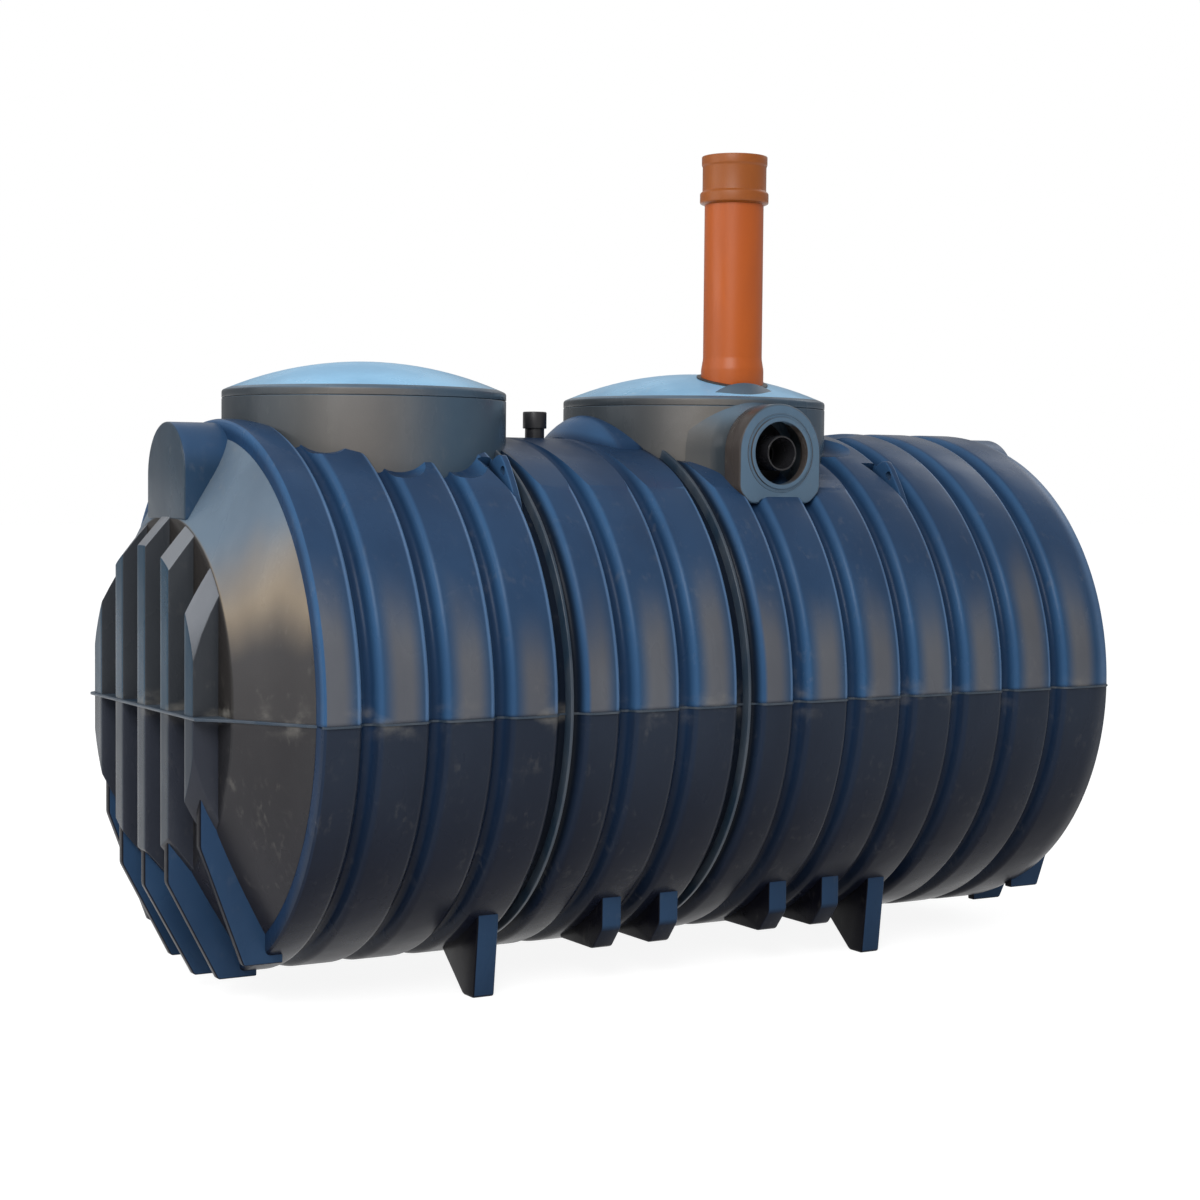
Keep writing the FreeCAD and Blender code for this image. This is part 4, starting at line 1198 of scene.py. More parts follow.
    def build(self, skin: Skin, line: Skin, pockets: Callable[[End], list[Piece]]) -> None:
        """Make and dress the barrel.

        Args:
            skin: Material of the barrel.
            line: Material of the seam lines.
            pockets: Gives the lug pocket cutters of an end.
        """
        sections = (("near", ["near_shell"], [NEAR_NECK], End.NEAR),
                    ("middle", ["middle_shell"], [NEAR_NECK, FAR_NECK], None),
                    ("far", ["far_shell", "far_end_shell"], [FAR_NECK], End.FAR))
        for (label, nodes, necks, end), outside in zip(sections, self.outsides()):
            piece = self.section(label + "_barrel_section", outside)
            tools = [self.saddle()]
            if end:
                tools += self.scoops(outside[0][0], outside[-1][0])
            tools += [self.opening(neck) for neck in necks]
            if end is End.FAR:
                tools.append(port_cutter(PORT_FACE, self.port_length))
            if end:
                tools += pockets(end)
            carve(piece, tools)
            deliver(piece, skin, *nodes, angle=self.shade_angle)
        for name, joint, neck in (("near_joint_band", self.near_joint, NEAR_NECK),
                                  ("middle_joint_band", self.middle_joint, FAR_NECK)):
            band = self.band(name + "_ring", joint)
            carve(band, [self.opening(neck)])
            deliver(band, line, name)
        for name, side in (("front_seam_line", -1), ("back_seam_line", 1)):
            deliver(self.seam(name, side), line)


@dataclass
class TankEnd:
    """One end of the tank: cone, upright ribs, blades, seam flange and blind inlet boss."""

    end: End
    reach: float
    base: float
    base_round: float
    front_radius: float = 375.0
    length: float = 188.0
    slot: float = 63.0
    slot_radius: float = 447.0
    slot_round: float = 9.0
    spigot: float = 40.0
    rib_pitch: float = 165.0
    rib_width: float = 58.0
    wall: float = 10.0
    blade_thickness: float = 27.0
    blade_setback: float = 4.0
    blade_step: float = 60.0
    outer_setback: float = 20.0
    blade_top: float = 465.0
    blade_keel: float = 702.0
    toe_setback: float = 134.0
    heel_setback: float = 234.0
    flange_half: float = 4.0
    flange_lip: float = 5.0
    flange_inset: float = 12.0
    boss_radius: float = 132.0
    boss_height: float = 548.0
    boss_foot: float = 440.0
    boss_depth: float = 130.0
    soft: float = 5.0
    blade_soft: float = 4.0
    flange_soft: float = 2.5

    @property
    def front(self) -> float:
        """Flat front, from the middle of the tank."""
        return self.reach + self.length

    def radius_at(self, inset: float) -> float:
        """Radius of the cone at a distance behind its front.

        Args:
            inset: Millimetres behind the front.

        Returns:
            The radius.
        """
        if inset <= self.slot:
            return self.front_radius + (self.slot_radius - self.front_radius) * inset / self.slot
        share = (inset - self.slot) / (self.length - self.slot)
        return self.slot_radius + (self.base - self.slot_radius) * share

    def point(self, inset: float, y: float, z: float) -> Vector:
        """Point at a distance behind the front."""
        return at(self.end.value * (self.front - inset), y, z)

    def cone(self) -> Piece:
        """Cone down to the floor of the slots, with its spigot.

        Returns:
            The closed body.
        """
        floor = self.front - self.slot
        bore = CHAMBER_BORE - PLAY
        profile = [(floor, 0, 0), (floor, self.radius_at(self.slot), self.slot_round),
                   (self.reach, self.base, self.base_round), (self.reach, bore, 0),
                   (self.reach - self.spigot, bore, 0),
                   (self.reach - self.spigot, bore - self.wall, 0),
                   (self.reach, bore - self.wall, 0),
                   (floor - self.wall, self.radius_at(self.slot) - self.wall, 0),
                   (floor - self.wall, 0, 0)]
        placed = [(self.end.value * level, radius, rounding) for level, radius, rounding in profile]
        return turned(self.end.label + "_cone", Axis.ALONG, (0, 0, 0), placed, BARREL_STEPS, False)

    def rib(self, index: int) -> Piece:
        """One upright rib whose ends lie on the cone.

        Args:
            index: Its number from the middle, -2 to 2.

        Returns:
            The rib.
        """
        loops = []
        for step in (-1.0, -0.5, 0.0, 0.5, 1.0):
            y = index * self.rib_pitch + step * self.rib_width / 2
            insets = (0.0, self.slot / 3, 2 * self.slot / 3, self.slot)
            edge = [(inset, math.sqrt(self.radius_at(inset) ** 2 - y * y)) for inset in insets]
            edge.append((self.slot + self.wall / 2, edge[-1][1]))
            loops.append([self.point(inset, y, z) for inset, z in edge]
                         + [self.point(inset, y, -z) for inset, z in edge[::-1]])
        rib = lofted("%s_rib_%d" % (self.end.label, index + 3), loops)
        soften(rib, self.soft)
        return rib

    def blade(self, index: int) -> Piece:
        """One upright blade under an end rib.

        Args:
            index: Its number from the middle, -2 to 2.

        Returns:
            The blade.
        """
        y = index * self.rib_pitch
        top = -math.sqrt(self.blade_top ** 2 - y * y)
        keel = -math.sqrt(self.blade_keel ** 2 - y * y)
        start = -math.sqrt(self.front_radius ** 2 - y * y) + self.blade_step
        setback = self.blade_setback + (self.outer_setback if abs(index) == 2 else 0.0)
        outline = [(setback, top, 6), (self.toe_setback, keel, 6), (self.heel_setback, keel, 0),
                   (self.heel_setback, keel + self.blade_step, 0),
                   (self.slot + self.blade_setback, start, 0), (setback, start, 0)]
        blade = slab("%s_blade_%d" % (self.end.label, index + 3),
                     [self.point(inset, y - self.blade_thickness / 2, z) for inset, z, _ in outline],
                     Vector((0, self.blade_thickness * MM, 0)),
                     [rounding for _, _, rounding in outline])
        soften(blade, self.blade_soft)
        return blade

    def flange(self) -> Piece:
        """Ledge that the mould joint leaves across the end.

        Returns:
            The ledge.
        """
        lip = self.flange_lip
        half = [(self.length, self.base + lip), (self.slot, self.slot_radius + lip),
                (-lip, self.front_radius + lip), (-lip, 0.9 * self.front_radius)]
        back = [(self.length, self.base - self.flange_inset), (self.slot + lip, self.front_radius)]
        level = seam_level(self.end.value * self.reach) - self.flange_half
        outline = [(inset, -y) for inset, y in half] + half[::-1]
        outline += back + [(inset, -y) for inset, y in back[::-1]]
        flange = slab(self.end.label + "_flange", [self.point(*place, level) for place in outline],
                      Vector((0, 0, 2 * self.flange_half * MM)))
        soften(flange, self.flange_soft)
        return flange

    def boss(self) -> Piece:
        """Blind inlet boss with a round top.

        Returns:
            The boss.
        """
        outline = [(-self.boss_radius, self.boss_foot),
                   *arch(0.0, self.boss_height, self.boss_radius),
                   (self.boss_radius, self.boss_foot)]
        boss = slab(self.end.label + "_boss", [self.point(self.slot, y, z) for y, z in outline],
                    Vector((-self.end.value * self.boss_depth * MM, 0, 0)))
        soften(boss, self.soft)
        return boss

    def build(self, skins: dict[str, Skin]) -> None:
        """Make and dress the end.

        Args:
            skins: Materials by name.
        """
        label = self.end.label
        numbers = range(-2, 3)
        deliver(self.cone(), skins["cone"], label + "_end_cap")
        deliver(joined(label + "_ribs", [self.rib(number) for number in numbers]), skins["rib"])
        deliver(joined(label + "_blades", [self.blade(number) for number in numbers]),
                skins["foot"], label + "_end_blades")
        deliver(self.flange(), skins["seam"], label + "_seam_flange")
        deliver(self.boss(), skins["boss"], label + "_inlet_boss")


@dataclass
class AccessNeck:
    """Upright neck with its domed lid."""

    end: End
    centre: float
    wall: float = 14.0
    root: float = 480.0
    rim: float = 767.0
    skirt: float = 20.0
    rise: float = 78.0
    lid_wall: float = 6.0
    blue_radius: float = 350.0
    cover_depth: float = 40.0

    def turn(self, name: str, profile: Sequence[Corner], closed: bool = True) -> Piece:
        """Body turned about the neck's axis."""
        return turned("%s_%s" % (self.end.label, name), Axis.UPRIGHT, (self.centre, 0, 0),
                      profile, closed=closed)

    def dome(self, radius: float, drop: float = 0.0) -> Corner:
        """Corner of the lid's dome.

        Args:
            radius: Distance from the dome's middle.
            drop: How far it lies inside.

        Returns:
            The corner.
        """
        ball = (NECK_RADIUS ** 2 + self.rise ** 2) / (2 * self.rise)
        height = self.rim + self.rise - ball + math.sqrt((ball - drop) ** 2 - radius ** 2)
        return height, radius, 0

    def tube(self) -> Piece:
        """Neck tube with the rebate for the lid.

        Returns:
            The tube.
        """
        inner = NECK_RADIUS - self.wall
        rebate = NECK_RADIUS - self.lid_wall - PLAY
        low = self.rim - self.skirt
        return self.turn("neck_tube", [
            (self.root, inner, 0), (self.root, NECK_RADIUS, 0), (low, NECK_RADIUS, 2.5),
            (low, rebate, 0), (self.rim - 1, rebate, 0), (self.rim - 1, inner, 0)])

    def lid(self) -> Piece:
        """Domed middle of the lid.

        Returns:
            The shell.
        """
        radii = [self.blue_radius * step / 12 for step in range(13)]
        outside = [self.dome(radius) for radius in radii]
        under = [self.dome(radius, self.lid_wall) for radius in radii[::-1]]
        return self.turn("domed_lid", outside + under, False)

    def lid_skirt(self) -> Piece:
        """Rim and skirt of the lid, as dull as the neck.

        Returns:
            The ring.
        """
        low = self.rim - self.skirt + 1
        return self.turn("lid_skirt", [
            self.dome(self.blue_radius), (self.rim, NECK_RADIUS, 5), (low, NECK_RADIUS, 1.5),
            (low, NECK_RADIUS - self.lid_wall, 0), self.dome(self.blue_radius, self.lid_wall)])

    def cover(self, lift: float) -> Piece:
        """Closed solid under a dome that is lifted a little over the lid.

        Args:
            lift: Millimetres over the lid.

        Returns:
            The solid.
        """
        low = self.rim - self.cover_depth
        outside = [self.dome(NECK_RADIUS * step / 24) for step in range(25)]
        return self.turn("cover", [*((height + lift, *rest) for height, *rest in outside),
                                   (low, NECK_RADIUS, 0), (low, 0, 0)], False)

    def build(self, skin: Skin, top: Skin, neck_tools: Sequence[Piece] = (),
              lid_tools: Sequence[Piece] = ()) -> None:
        """Make and dress the neck and its lid.

        Args:
            skin: Material of the neck.
            top: Material of the lid.
            neck_tools: Cutters for the neck.
            lid_tools: Cutters for the lid.
        """
        tube = self.tube()
        carve(tube, neck_tools)
        deliver(tube, skin, self.end.label + "_neck")
        lid = self.lid()
        carve(lid, lid_tools)
        deliver(lid, top, self.end.label + "_lid", slot=Slot.LID)
        deliver(self.lid_skirt(), skin)


@dataclass
class Outlet:
    """Outlet housing on the far neck with its rings, seal and dip pipe."""

    radius: float = 129.0
    foot: float = 490.0
    foot_roundings: tuple[float, ...] = (14, 14, 5, 5, 5, 5, 14, 14)
    toe: float = 30.0
    toe_taper: float = 6.0
    chamfer: float = 34.0
    notch: float = 9.0
    brow: float = 75.0
    flare: tuple[tuple[float, float], ...] = ((0, 2), (20, 0), (45, -16), (93, -60))
    wall: float = 12.0
    room: float = 400.0
    dip_radius: float = 46.0
    dip_bore: float = 41.0
    dip_mouth: float = 463.0
    dip_shift: float = 8.0
    dip_axis: float = 195.0
    dip_foot: float = -60.0
    dip_top: float = 715.0
    arm_overlap: float = 30.0
    collar_face: float = 365.0
    collar: float = 8.0
    outer_ring: tuple[float, ...] = (101.0, 104.5, 1.5, 3.0)
    lip_ring: tuple[float, ...] = (82.5, 95.0, 5.0, 0.5)
    sleeve_ring: tuple[float, ...] = (82.5, 86.5, -1.0, 20.0)
    soft: float = 6.0

    def outline(self, out: float, inset: float) -> list[Vector]:
        """Arch with two feet, drawn across the outlet.

        Args:
            out: Its plane, out from the tank's axis.
            inset: How far it lies inside the housing's face, negative for outside.

        Returns:
            The corners in metres.
        """
        half = self.radius - inset
        foot = self.foot + inset
        heel = half - self.chamfer
        right = [(half, foot + self.chamfer), (heel, foot), (heel - self.toe, foot),
                 (heel - self.toe - self.toe_taper, foot + self.notch)]
        low = [(PORT_PLACE + offset, level) for offset, level in right]
        low += [(PORT_PLACE - offset, level) for offset, level in right[::-1]]
        return [at(x, -out, z) for x, z in arch(PORT_PLACE, PORT_HEIGHT, half) + low]

    def hollow(self, block: Piece) -> Piece:
        """Cut the opening and the room behind it into a block of the housing.

        Args:
            block: Block to cut.

        Returns:
            The same block.
        """
        start = (PORT_PLACE, self.wall - PORT_FACE, PORT_HEIGHT)
        carve(block, [port_cutter(PORT_FACE + 10, self.room),
                      rod("housing_room", Axis.ACROSS, start, self.room, self.radius - self.wall)])
        return block

    def brow_block(self) -> Piece:
        """Front of the housing, with its face.

        Returns:
            The block.
        """
        block = slab("outlet_brow", self.outline(PORT_FACE, 0.0), Vector((0, self.brow * MM, 0)),
                     [0] * (ARCH_STEPS + 1) + [*self.foot_roundings])
        soften(block, self.soft)
        return self.hollow(block)

    def root_block(self) -> Piece:
        """Flared root of the housing, as dull as the neck."""
        return self.hollow(lofted("outlet_arch_root", [
            self.outline(PORT_FACE - self.brow - back, inset) for back, inset in self.flare]))

    def ring(self, name: str, inner: float, outer: float, rise: float, depth: float) -> Piece:
        """Ring round the opening.

        Args:
            name: Name of the new piece.
            inner: Inner radius.
            outer: Outer radius.
            rise: How far it stands out of the housing's face.
            depth: How far it goes in.

        Returns:
            The ring.
        """
        return pipe_piece(name, Axis.ACROSS, (PORT_PLACE, 0, PORT_HEIGHT),
                          (-PORT_FACE - rise, depth - PORT_FACE), (inner, outer), PIPE_STEPS,
                          (2.0, 0.0))

    def dip_pipe(self) -> Piece:
        """Horizontal tube in the port and the upright pipe that it joins.

        Returns:
            The joined pipes.
        """
        tube = (self.dip_bore, self.dip_radius)
        arm = pipe_piece("dip_arm", Axis.ACROSS, (PORT_PLACE + self.dip_shift, 0, PORT_HEIGHT),
                         (-self.dip_mouth, -self.dip_axis - self.arm_overlap), tube,
                         TUBE_STEPS, (1.2, 0.0))
        low, high = -self.collar_face, self.collar - self.collar_face
        inner, outer = self.dip_radius - 1, PORT_RADIUS - PLAY
        collar = turned("dip_collar", Axis.ACROSS, (PORT_PLACE, 0, PORT_HEIGHT), [
            (low, inner, 0), (low, outer, 1), (high, outer, 1), (high, inner, 0)], TUBE_STEPS)
        upright = pipe_piece("dip_upright", Axis.UPRIGHT, (PORT_PLACE, -self.dip_axis, 0),
                             (self.dip_foot, self.dip_top), tube, TUBE_STEPS, (1.2, 1.2))
        return joined("dip_pipe", [arm, collar, upright])

    def build(self, skin: Skin, neck: Skin, black: Skin) -> None:
        """Make and dress the outlet.

        Args:
            skin: Material of the housing, its rings and its seal.
            neck: Material of its root at the neck.
            black: Material of the dip pipe.
        """
        outer = self.ring("outer_port_ring", *self.outer_ring)
        deliver(joined("outlet_arch_housing", [self.brow_block(), outer]), skin, "outlet_housing")
        deliver(self.root_block(), neck)
        lip = self.ring("outlet_lip", *self.lip_ring)
        sleeve = self.ring("outlet_sleeve", *self.sleeve_ring)
        deliver(joined("outlet_seal_ring", [lip, sleeve]), skin, "outlet_seal",
                slot=Slot.RUBBER)
        deliver(self.dip_pipe(), black, "outlet_dip_pipe", slot=Slot.BLACK)


@dataclass
class NeckShoulder:
    """Arched shoulder from the far neck down to the rib beside it."""

    height: float = 431.0
    radius: float = 293.0
    toe: float = 62.0
    brow: float = 14.0
    slope_length: float = 45.0
    length: float = 73.0
    tail: float = 130.0
    buried: float = 630.0
    neck_length: float = 700.0
    neck_overlap: float = 6.0

    def build(self, skin: Skin) -> None:
        """Make and dress the shoulder.

        Args:
            skin: Material of the shoulder.
        """
        start = FAR_NECK - NECK_RADIUS - self.length
        whole = self.length + self.tail
        cone = turned("neck_shoulder", Axis.ALONG, (start, 0, self.height), [
            (0, 0, 0), (0, self.radius - self.toe, 0),
            (self.slope_length, self.radius - self.brow, 22), (self.length, self.radius, 14),
            (whole, self.radius, 0), (whole, 0, 0)], closed=False)
        carve(cone, [rod("shoulder_under", Axis.ALONG, (start - 20, 0, 0), whole + 40,
                         self.buried, BARREL_STEPS),
                     rod("shoulder_neck", Axis.UPRIGHT, (FAR_NECK, 0, WAY_FOOT),
                         self.neck_length, NECK_RADIUS - self.neck_overlap)])
        deliver(cone, skin, "far_neck_shoulder")


@dataclass
class VentPipe:
    """Vent pipe with a socket, in a rubber grommet."""

    radius: float = 80.0
    bore: float = 76.0
    foot: float = 740.0
    flare: float = 85.0
    flare_low: float = 850.0
    flare_high: float = 880.0
    top: float = 1426.0
    socket: float = 126.0
    socket_bore: float = 80.4
    socket_depth: float = 112.0
    socket_overlap: float = 10.0
    bead: float = 93.0
    bead_height: float = 27.0
    sleeve: float = 86.5
    rim: float = 89.0
    rim_height: float = 28.0
    slope: float = 5.0
    grommet: float = 96.7
    grommet_low: float = 780.0
    grommet_high: float = 870.0

    def turn(self, name: str, profile: Sequence[Corner]) -> Piece:
        """Body turned about the pipe's axis."""
        return turned(name, Axis.UPRIGHT, (VENT_PLACE, VENT_OFFSET, 0), profile, PIPE_STEPS)

    def pipe(self) -> Piece:
        """Plain pipe up to its socket.

        Returns:
            The pipe.
        """
        high = self.top - self.socket + self.socket_overlap
        return self.turn("vent_pipe_shaft", [
            (self.foot, self.bore, 0), (self.foot, self.flare, 2), (self.flare_low, self.flare, 4),
            (self.flare_high, self.radius, 4), (high, self.radius, 0), (high, self.bore, 0)])

    def head(self) -> Piece:
        """Socket at the top of the pipe.

        Returns:
            The socket.
        """
        low = self.top - self.socket
        bead_top = low + self.bead_height
        rim_low = self.top - self.rim_height
        floor = self.top - self.socket_depth
        return self.turn("vent_socket", [
            (low - self.slope, self.bore + 1, 0), (low - self.slope, self.radius, 1.5),
            (low, self.bead, 3), (bead_top, self.bead, 3),
            (bead_top + self.slope, self.sleeve, 2), (rim_low, self.sleeve, 2),
            (rim_low + self.slope, self.rim, 2), (self.top, self.rim, 2),
            (self.top, self.socket_bore, 1), (floor, self.socket_bore, 0),
            (floor - self.slope, self.bore + 1, 0)])

    def ring(self, cover: Piece) -> Piece:
        """Rubber grommet cut level with the lid's dome.

        Args:
            cover: Solid whose top becomes the ring's.

        Returns:
            The ring.
        """
        ring = pipe_piece("grommet_ring", Axis.UPRIGHT, (VENT_PLACE, VENT_OFFSET, 0),
                          (self.grommet_low, self.grommet_high),
                          (self.flare + PLAY, self.grommet), PIPE_STEPS)
        carve(ring, [cover], "INTERSECT")
        return ring

    def build(self, plain: Skin, socket: Skin, rubber: Skin, cover: Piece) -> None:
        """Make and dress the vent.

        Args:
            plain: Material of the pipe.
            socket: Material of its socket.
            rubber: Material of the grommet.
            cover: Solid under a dome just over the lid.
        """
        deliver(self.pipe(), plain, "vent_pipe", slot=Slot.PIPE)
        deliver(self.head(), socket, slot=Slot.PIPE)
        deliver(self.ring(cover), rubber, "vent_grommet", slot=Slot.RUBBER)


@dataclass
class Breather:
    """Short capped stub on the deck between the necks."""

    centre: float = -230.0
    radius: float = 26.0
    bore: float = 22.0
    root: float = 645.0
    top: float = 721.0
    cap_radius: float = 32.0
    cap_skirt: float = 37.0
    cap_rise: float = 8.0

    def build(self, black: Skin) -> None:
        """Make and dress the stub and its cap.

        Args:
            black: Material of both.
        """
        centre = (self.centre, 0, 0)
        inside, skirt, crown = self.radius + PLAY, self.top - self.cap_skirt, self.top + self.cap_rise
        tube = pipe_piece("breather_tube", Axis.UPRIGHT, centre, (self.root, self.top),
                          (self.bore, self.radius), STUB_STEPS)
        deliver(tube, black, "breather_stub", slot=Slot.BLACK)
        cap = turned("breather_lid", Axis.UPRIGHT, centre, [
            (self.top, 0, 0), (self.top, inside, 0), (skirt, inside, 0),
            (skirt, self.cap_radius, 1.5), (crown, self.cap_radius, 3), (crown, 0, 0)],
            STUB_STEPS, False)
        deliver(cap, black, "breather_cap", slot=Slot.BLACK)


@dataclass
class LiftingLugs:
    """Ear plates beside two ribs, with a scoop in the rib before each."""

    angle: float = 36.5
    plate: float = 18.0
    edge: float = 60.5
    outline: tuple[Corner, ...] = (
        (-78, 640, 0), (-78, 684, 10), (-62, 712, 12), (-48, 716, 10), (-30, 714, 14),
        (0, 704, 14), (40, 690, 14), (80, 672, 14), (100, 660, 0), (100, 640, 0))
    hole: float = 12.0
    hole_rise: float = 2.0
    hole_offset: float = 17.0
    pocket_width: float = 50.0
    pocket_depth: float = 30.0
    pocket_high: float = 86.0
    pocket_low: float = 95.0
    pocket_roof: float = 60.0
    soft: float = 4.0

    def place(self, x: float, t: float, r: float, hand: int) -> Vector:
        """Point by its distance down from the lug's middle and its radius.

        Args:
            x: Millimetres along the tank.
            t: Millimetres down from the lug's middle.
            r: Radius in millimetres.
            hand: -1 for the outlet side, 1 for the other.

        Returns:
            The point in metres.
        """
        turn = math.radians(self.angle)
        y = t * math.cos(turn) + r * math.sin(turn)
        z = -t * math.sin(turn) + r * math.cos(turn)
        return at(x, hand * y, z)

    def ear(self, end: End, hand: int) -> Piece:
        """One ear plate with its hole.

        Args:
            end: End of the tank.
            hand: -1 for the outlet side, 1 for the other.

        Returns:
            The plate.
        """
        x = end.value * CARRIER + self.edge
        ear = slab("%s_ear" % end.label, [self.place(x - 1, t, r, hand) for t, r, _ in self.outline],
                   Vector(((self.plate + 1) * MM, 0, 0)),
                   [rounding for _, _, rounding in self.outline])
        soften(ear, self.soft)
        start = self.place(x - 20, -self.hole_offset, CREST + self.hole_rise, hand)
        centre = start / MM - Vector((TANK_SHIFT, 0, AXIS_HEIGHT))
        carve(ear, [rod("ear_hole", Axis.ALONG, tuple(centre), 60, self.hole, 48)])
        return ear

    def pocket(self, end: End, hand: int) -> Piece:
        """Cutter for the scoop in the rib's crest.

        Args:
            end: End of the tank.
            hand: -1 for the outlet side, 1 for the other.

        Returns:
            The closed cutter.
        """
        x = end.value * CARRIER + self.edge
        high, low = self.pocket_high, self.pocket_low
        top = math.sqrt(CREST ** 2 - high ** 2)
        tip = math.sqrt(CREST ** 2 - low ** 2)
        ends = ((x, low, tip, 0), (x - self.pocket_width, -high, top, 0),
                (x, -high, top, self.pocket_depth))
        return lofted("pocket", [
            [self.place(along, t, r - depth, hand) for along, t, r, depth in ends],
            [self.place(along, t, r + self.pocket_roof, hand) for along, t, r, _ in ends]])

    def pockets(self, end: End) -> list[Piece]:
        """Cutters for both scoops of an end."""
        return [self.pocket(end, hand) for hand in (-1, 1)]

    def build(self, skin: Skin) -> None:
        """Make and dress the four ears.

        Args:
            skin: Material of the ears.
        """
        for end in End:
            for hand, side in ((-1, "front"), (1, "back")):
                ear = self.ear(end, hand)
                node = "%s_%s_lifting_lug" % (end.label, side)
                ear.name = node + "_ear"
                deliver(ear, skin, node)


@dataclass
class Underframe:
    """Feet and keel fins under the belly."""

    thickness: float = 45.0
    depth: float = 58.0
    soft: float = 4.0
    fin_pitches: tuple[float, ...] = (-1.5, -0.5, 1.5, 2.5)
    foot_outline: tuple[Corner, ...] = ((360, -742, 8), (418, -742, 8), (440, -550, 0),
                                        (440, -480, 0), (243, -560, 0), (243, -646, 0))
    fin_outline: tuple[Corner, ...] = ((248, -650, 0), (415, -650, 10), (462, -592, 10),
                                       (462, -480, 0), (248, -590, 0))

    def plate(self, name: str, along: float, outline: Sequence[Corner]) -> Piece:
        """Plate across the tank on its -Y side.

        Args:
            name: Name of the new piece.
            along: Its place along the tank.
            outline: (distance across, height, rounding) of each corner.

        Returns:
            The plate.
        """
        corners = [at(along - self.thickness / 2, -y, z) for y, z, _ in outline]
        piece = slab(name, corners, Vector((self.depth * MM, 0, 0)),
                     [rounding for _, _, rounding in outline])
        soften(piece, self.soft)
        return piece

    def build(self, skin: Skin) -> None:
        """Make and dress the feet and fins.

        Args:
            skin: Material of the feet and fins.
        """
        foot = self.plate("near_front_foot_plate", -CARRIER, self.foot_outline)
        for node, shift, mirrored in (("near_back_foot", 0.0, True),
                                      ("far_front_foot", 2 * CARRIER, False),
                                      ("far_back_foot", 2 * CARRIER, True)):
            deliver(copied(foot, node + "_plate", shift, mirrored), skin, node)
        deliver(foot, skin, "near_front_foot")
        fin = self.plate("keel_fin", 0.0, self.fin_outline)
        for number, pitches in enumerate(self.fin_pitches, start=1):
            for side, mirrored in (("front", False), ("back", True)):
                node = "%s_keel_fin_%d" % (side, number)
                deliver(copied(fin, node + "_plate", pitches * RIB_PITCH, mirrored), skin, node)
        take(fin)
        bpy.ops.object.delete()


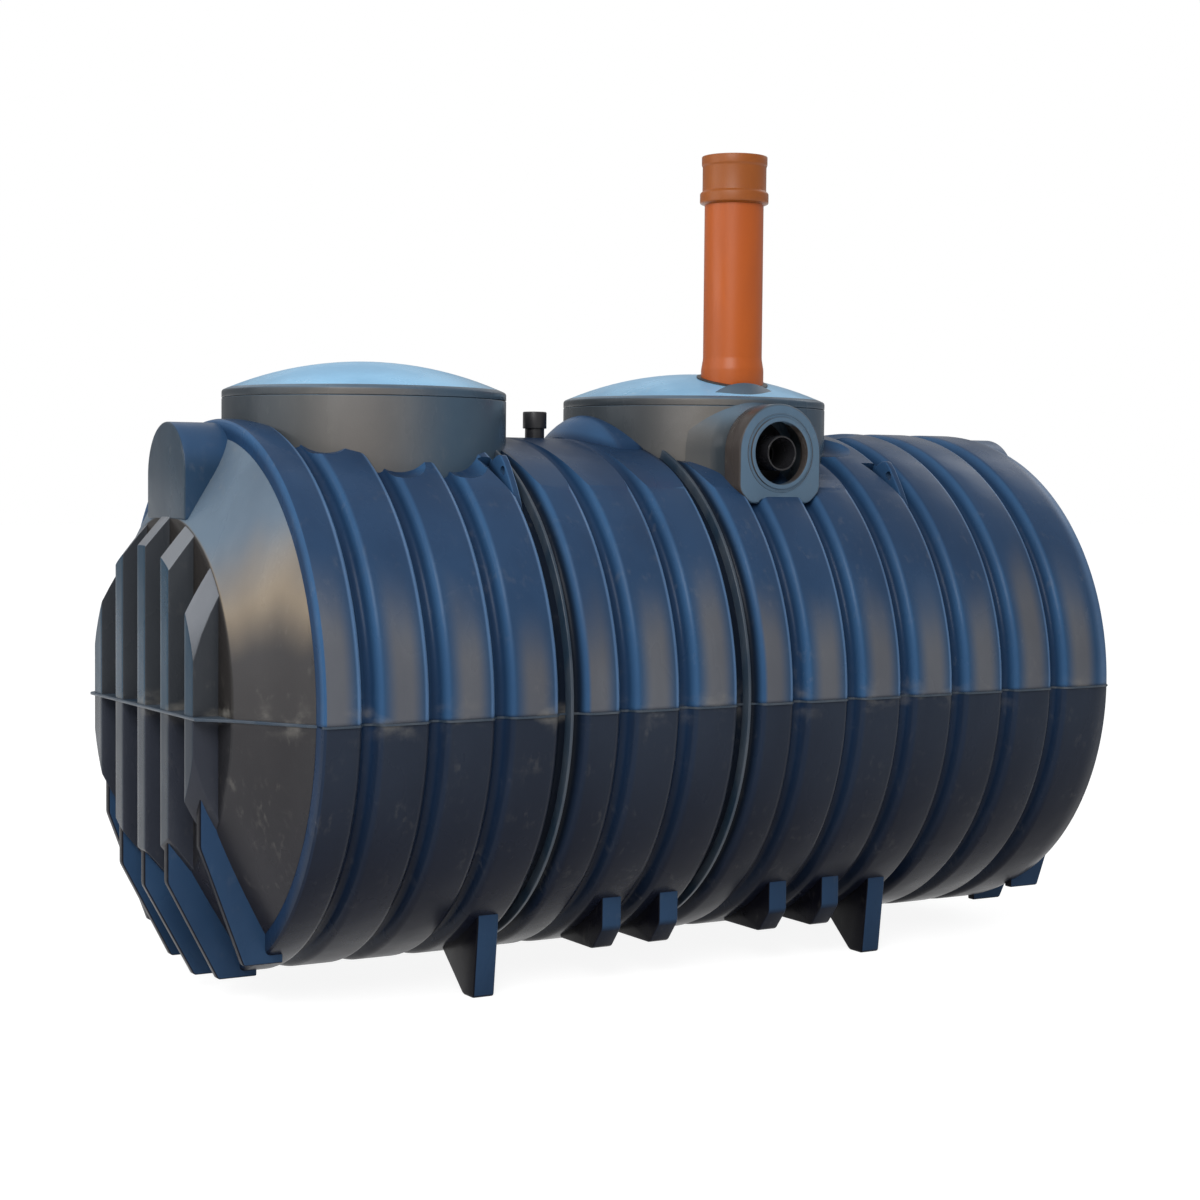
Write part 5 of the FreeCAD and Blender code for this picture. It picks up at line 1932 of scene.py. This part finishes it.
@dataclass
class Studio:
    """Floor, lights, surroundings and camera."""

    camera_place: Triple = (-3.2706, -5.4581, 1.2713)
    view: Triple = (0.5069, 0.8606, -0.0490)
    roll: float = 0.53
    lens: float = 69.24
    floor_size: float = 120.0
    floor_tone: float = 0.86
    floor_roughness: float = 0.9
    glow: float = 1.25
    glow_share: float = 0.72
    sky_levels: tuple[float, float] = (-0.05, 0.6)
    sky_strengths: tuple[float, float] = (0.30, 0.72)
    middle: Triple = (0.0, 0.0, 0.8)
    sensor: float = 36.0
    far_clip: float = 200.0
    lamps: tuple[tuple[str, Triple, float, float], ...] = (
        ("key_light", (-4.5, -5.0, 5.5), 4.0, 420.0), ("fill_light", (-6.0, 1.0, 3.0), 4.0, 120.0),
        ("rim_light", (5.5, 1.5, 5.0), 3.0, 40.0))

    def floor(self) -> None:
        """Pale floor that keeps the shadow."""
        rest_tools()
        bpy.ops.mesh.primitive_plane_add(size=self.floor_size, location=(0, 0, 0))
        floor = named("studio_floor")
        material = bpy.data.materials.new("floor")
        material.use_nodes = True
        bench = NodeBench(material.node_tree)
        shader = material.node_tree.nodes["Principled BSDF"]
        bench.feed(shader.inputs["Base Color"], (self.floor_tone,) * 3)
        shader.inputs["Roughness"].default_value = self.floor_roughness
        shader.inputs["Specular IOR Level"].default_value = 0.0
        path = bench.add("ShaderNodeLightPath")
        seen = bench.calculate("MAXIMUM", path.outputs["Is Camera Ray"],
                               path.outputs["Is Glossy Ray"])
        glow = bench.add("ShaderNodeEmission")
        glow.inputs["Color"].default_value = (1.0, 1.0, 1.0, 1.0)
        glow.inputs["Strength"].default_value = self.glow
        mix = bench.add("ShaderNodeMixShader")
        bench.feed(mix.inputs[0], bench.calculate("MULTIPLY", seen, self.glow_share))
        bench.feed(mix.inputs[1], shader.outputs[0])
        bench.feed(mix.inputs[2], glow.outputs[0])
        bench.feed(material.node_tree.nodes["Material Output"].inputs["Surface"], mix.outputs[0])
        floor.data.materials.append(material)

    def surroundings(self) -> None:
        """White backdrop with plain soft light from all round."""
        world = bpy.data.worlds.new("studio")
        bpy.context.scene.world = world
        world.use_nodes = True
        bench = NodeBench(world.node_tree)
        backdrop = world.node_tree.nodes["Background"]
        backdrop.inputs["Color"].default_value = (1.0, 1.0, 1.0, 1.0)
        path = bench.add("ShaderNodeLightPath")
        rise = bench.split(bench.add("ShaderNodeTexCoord").outputs["Generated"])[2]
        soft = bench.ease(rise, *self.sky_levels, *self.sky_strengths)
        bench.feed(backdrop.inputs["Strength"],
                   bench.calculate("MAXIMUM", soft, path.outputs["Is Camera Ray"]))

    def lamp(self, name: str, place: Triple, size: float, energy: float) -> None:
        """Soft area lamp aimed at the tank's middle.

        Args:
            name: Name of the lamp.
            place: Where it stands, in metres.
            size: Width of its square in metres.
            energy: Power in watts.
        """
        rest_tools()
        aim = (Vector(self.middle) - Vector(place)).to_track_quat("-Z", "Y").to_euler()
        bpy.ops.object.light_add(type="AREA", location=place, rotation=aim)
        lamp = named(name)
        lamp.data.size = size
        lamp.data.energy = energy

    def camera(self) -> None:
        """Camera where the photo was taken."""
        forward = Vector(self.view).normalized()
        right = forward.cross(Vector((0, 0, 1))).normalized()
        up = right.cross(forward)
        turn = math.radians(self.roll)
        rolled_right = right * math.cos(turn) + up * math.sin(turn)
        rolled_up = up * math.cos(turn) - right * math.sin(turn)
        facing = Matrix((rolled_right, rolled_up, -forward)).transposed()
        rest_tools()
        bpy.ops.object.camera_add(location=self.camera_place, rotation=facing.to_euler())
        camera = named("photo_camera")
        camera.data.lens = self.lens
        camera.data.sensor_width = self.sensor
        camera.data.clip_end = self.far_clip
        bpy.context.scene.camera = camera

    def build(self) -> None:
        """Set up the whole studio."""
        self.floor()
        self.surroundings()
        for lamp in self.lamps:
            self.lamp(*lamp)
        self.camera()
        bpy.context.scene.view_settings.view_transform = "Standard"


def main() -> None:
    """Build the tank piece by piece, then its studio."""
    logging.basicConfig(level=logging.INFO, format="%(name)s %(message)s")
    groups = {tree.name: tree for tree in (painted_light_group(), moulded_group(), scuff_group())}
    skins = {name: finish.make(groups) for name, finish in FINISHES.items()}

    lugs = LiftingLugs()
    Barrel().build(skins["barrel"], skins["seam"], lugs.pockets)
    TankEnd(End.NEAR, reach=NEAR_REACH, base=646.0, base_round=4.0).build(skins)
    TankEnd(End.FAR, reach=FAR_REACH, base=FAR_BASE, base_round=24.0).build(skins)
    AccessNeck(End.NEAR, centre=NEAR_NECK).build(skins["neck"], skins["lid"])
    far_neck = AccessNeck(End.FAR, centre=FAR_NECK)
    far_neck.build(skins["neck"], skins["lid"], [port_cutter(*NECK_PORT)],
                   [rod("lid_hole", Axis.UPRIGHT, (VENT_PLACE, VENT_OFFSET, LID_HOLE_FOOT),
                        LID_HOLE_LENGTH, LID_HOLE_RADIUS)])
    NeckShoulder().build(skins["barrel"])
    Outlet().build(skins["outlet"], skins["neck"], skins["stub"])
    VentPipe().build(skins["pipe"], skins["socket"], skins["rubber"], far_neck.cover(GROMMET_LIFT))
    Breather().build(skins["stub"])
    lugs.build(skins["barrel"])
    Underframe().build(skins["foot"])
    Studio().build()


if __name__ == "__main__":
    main()
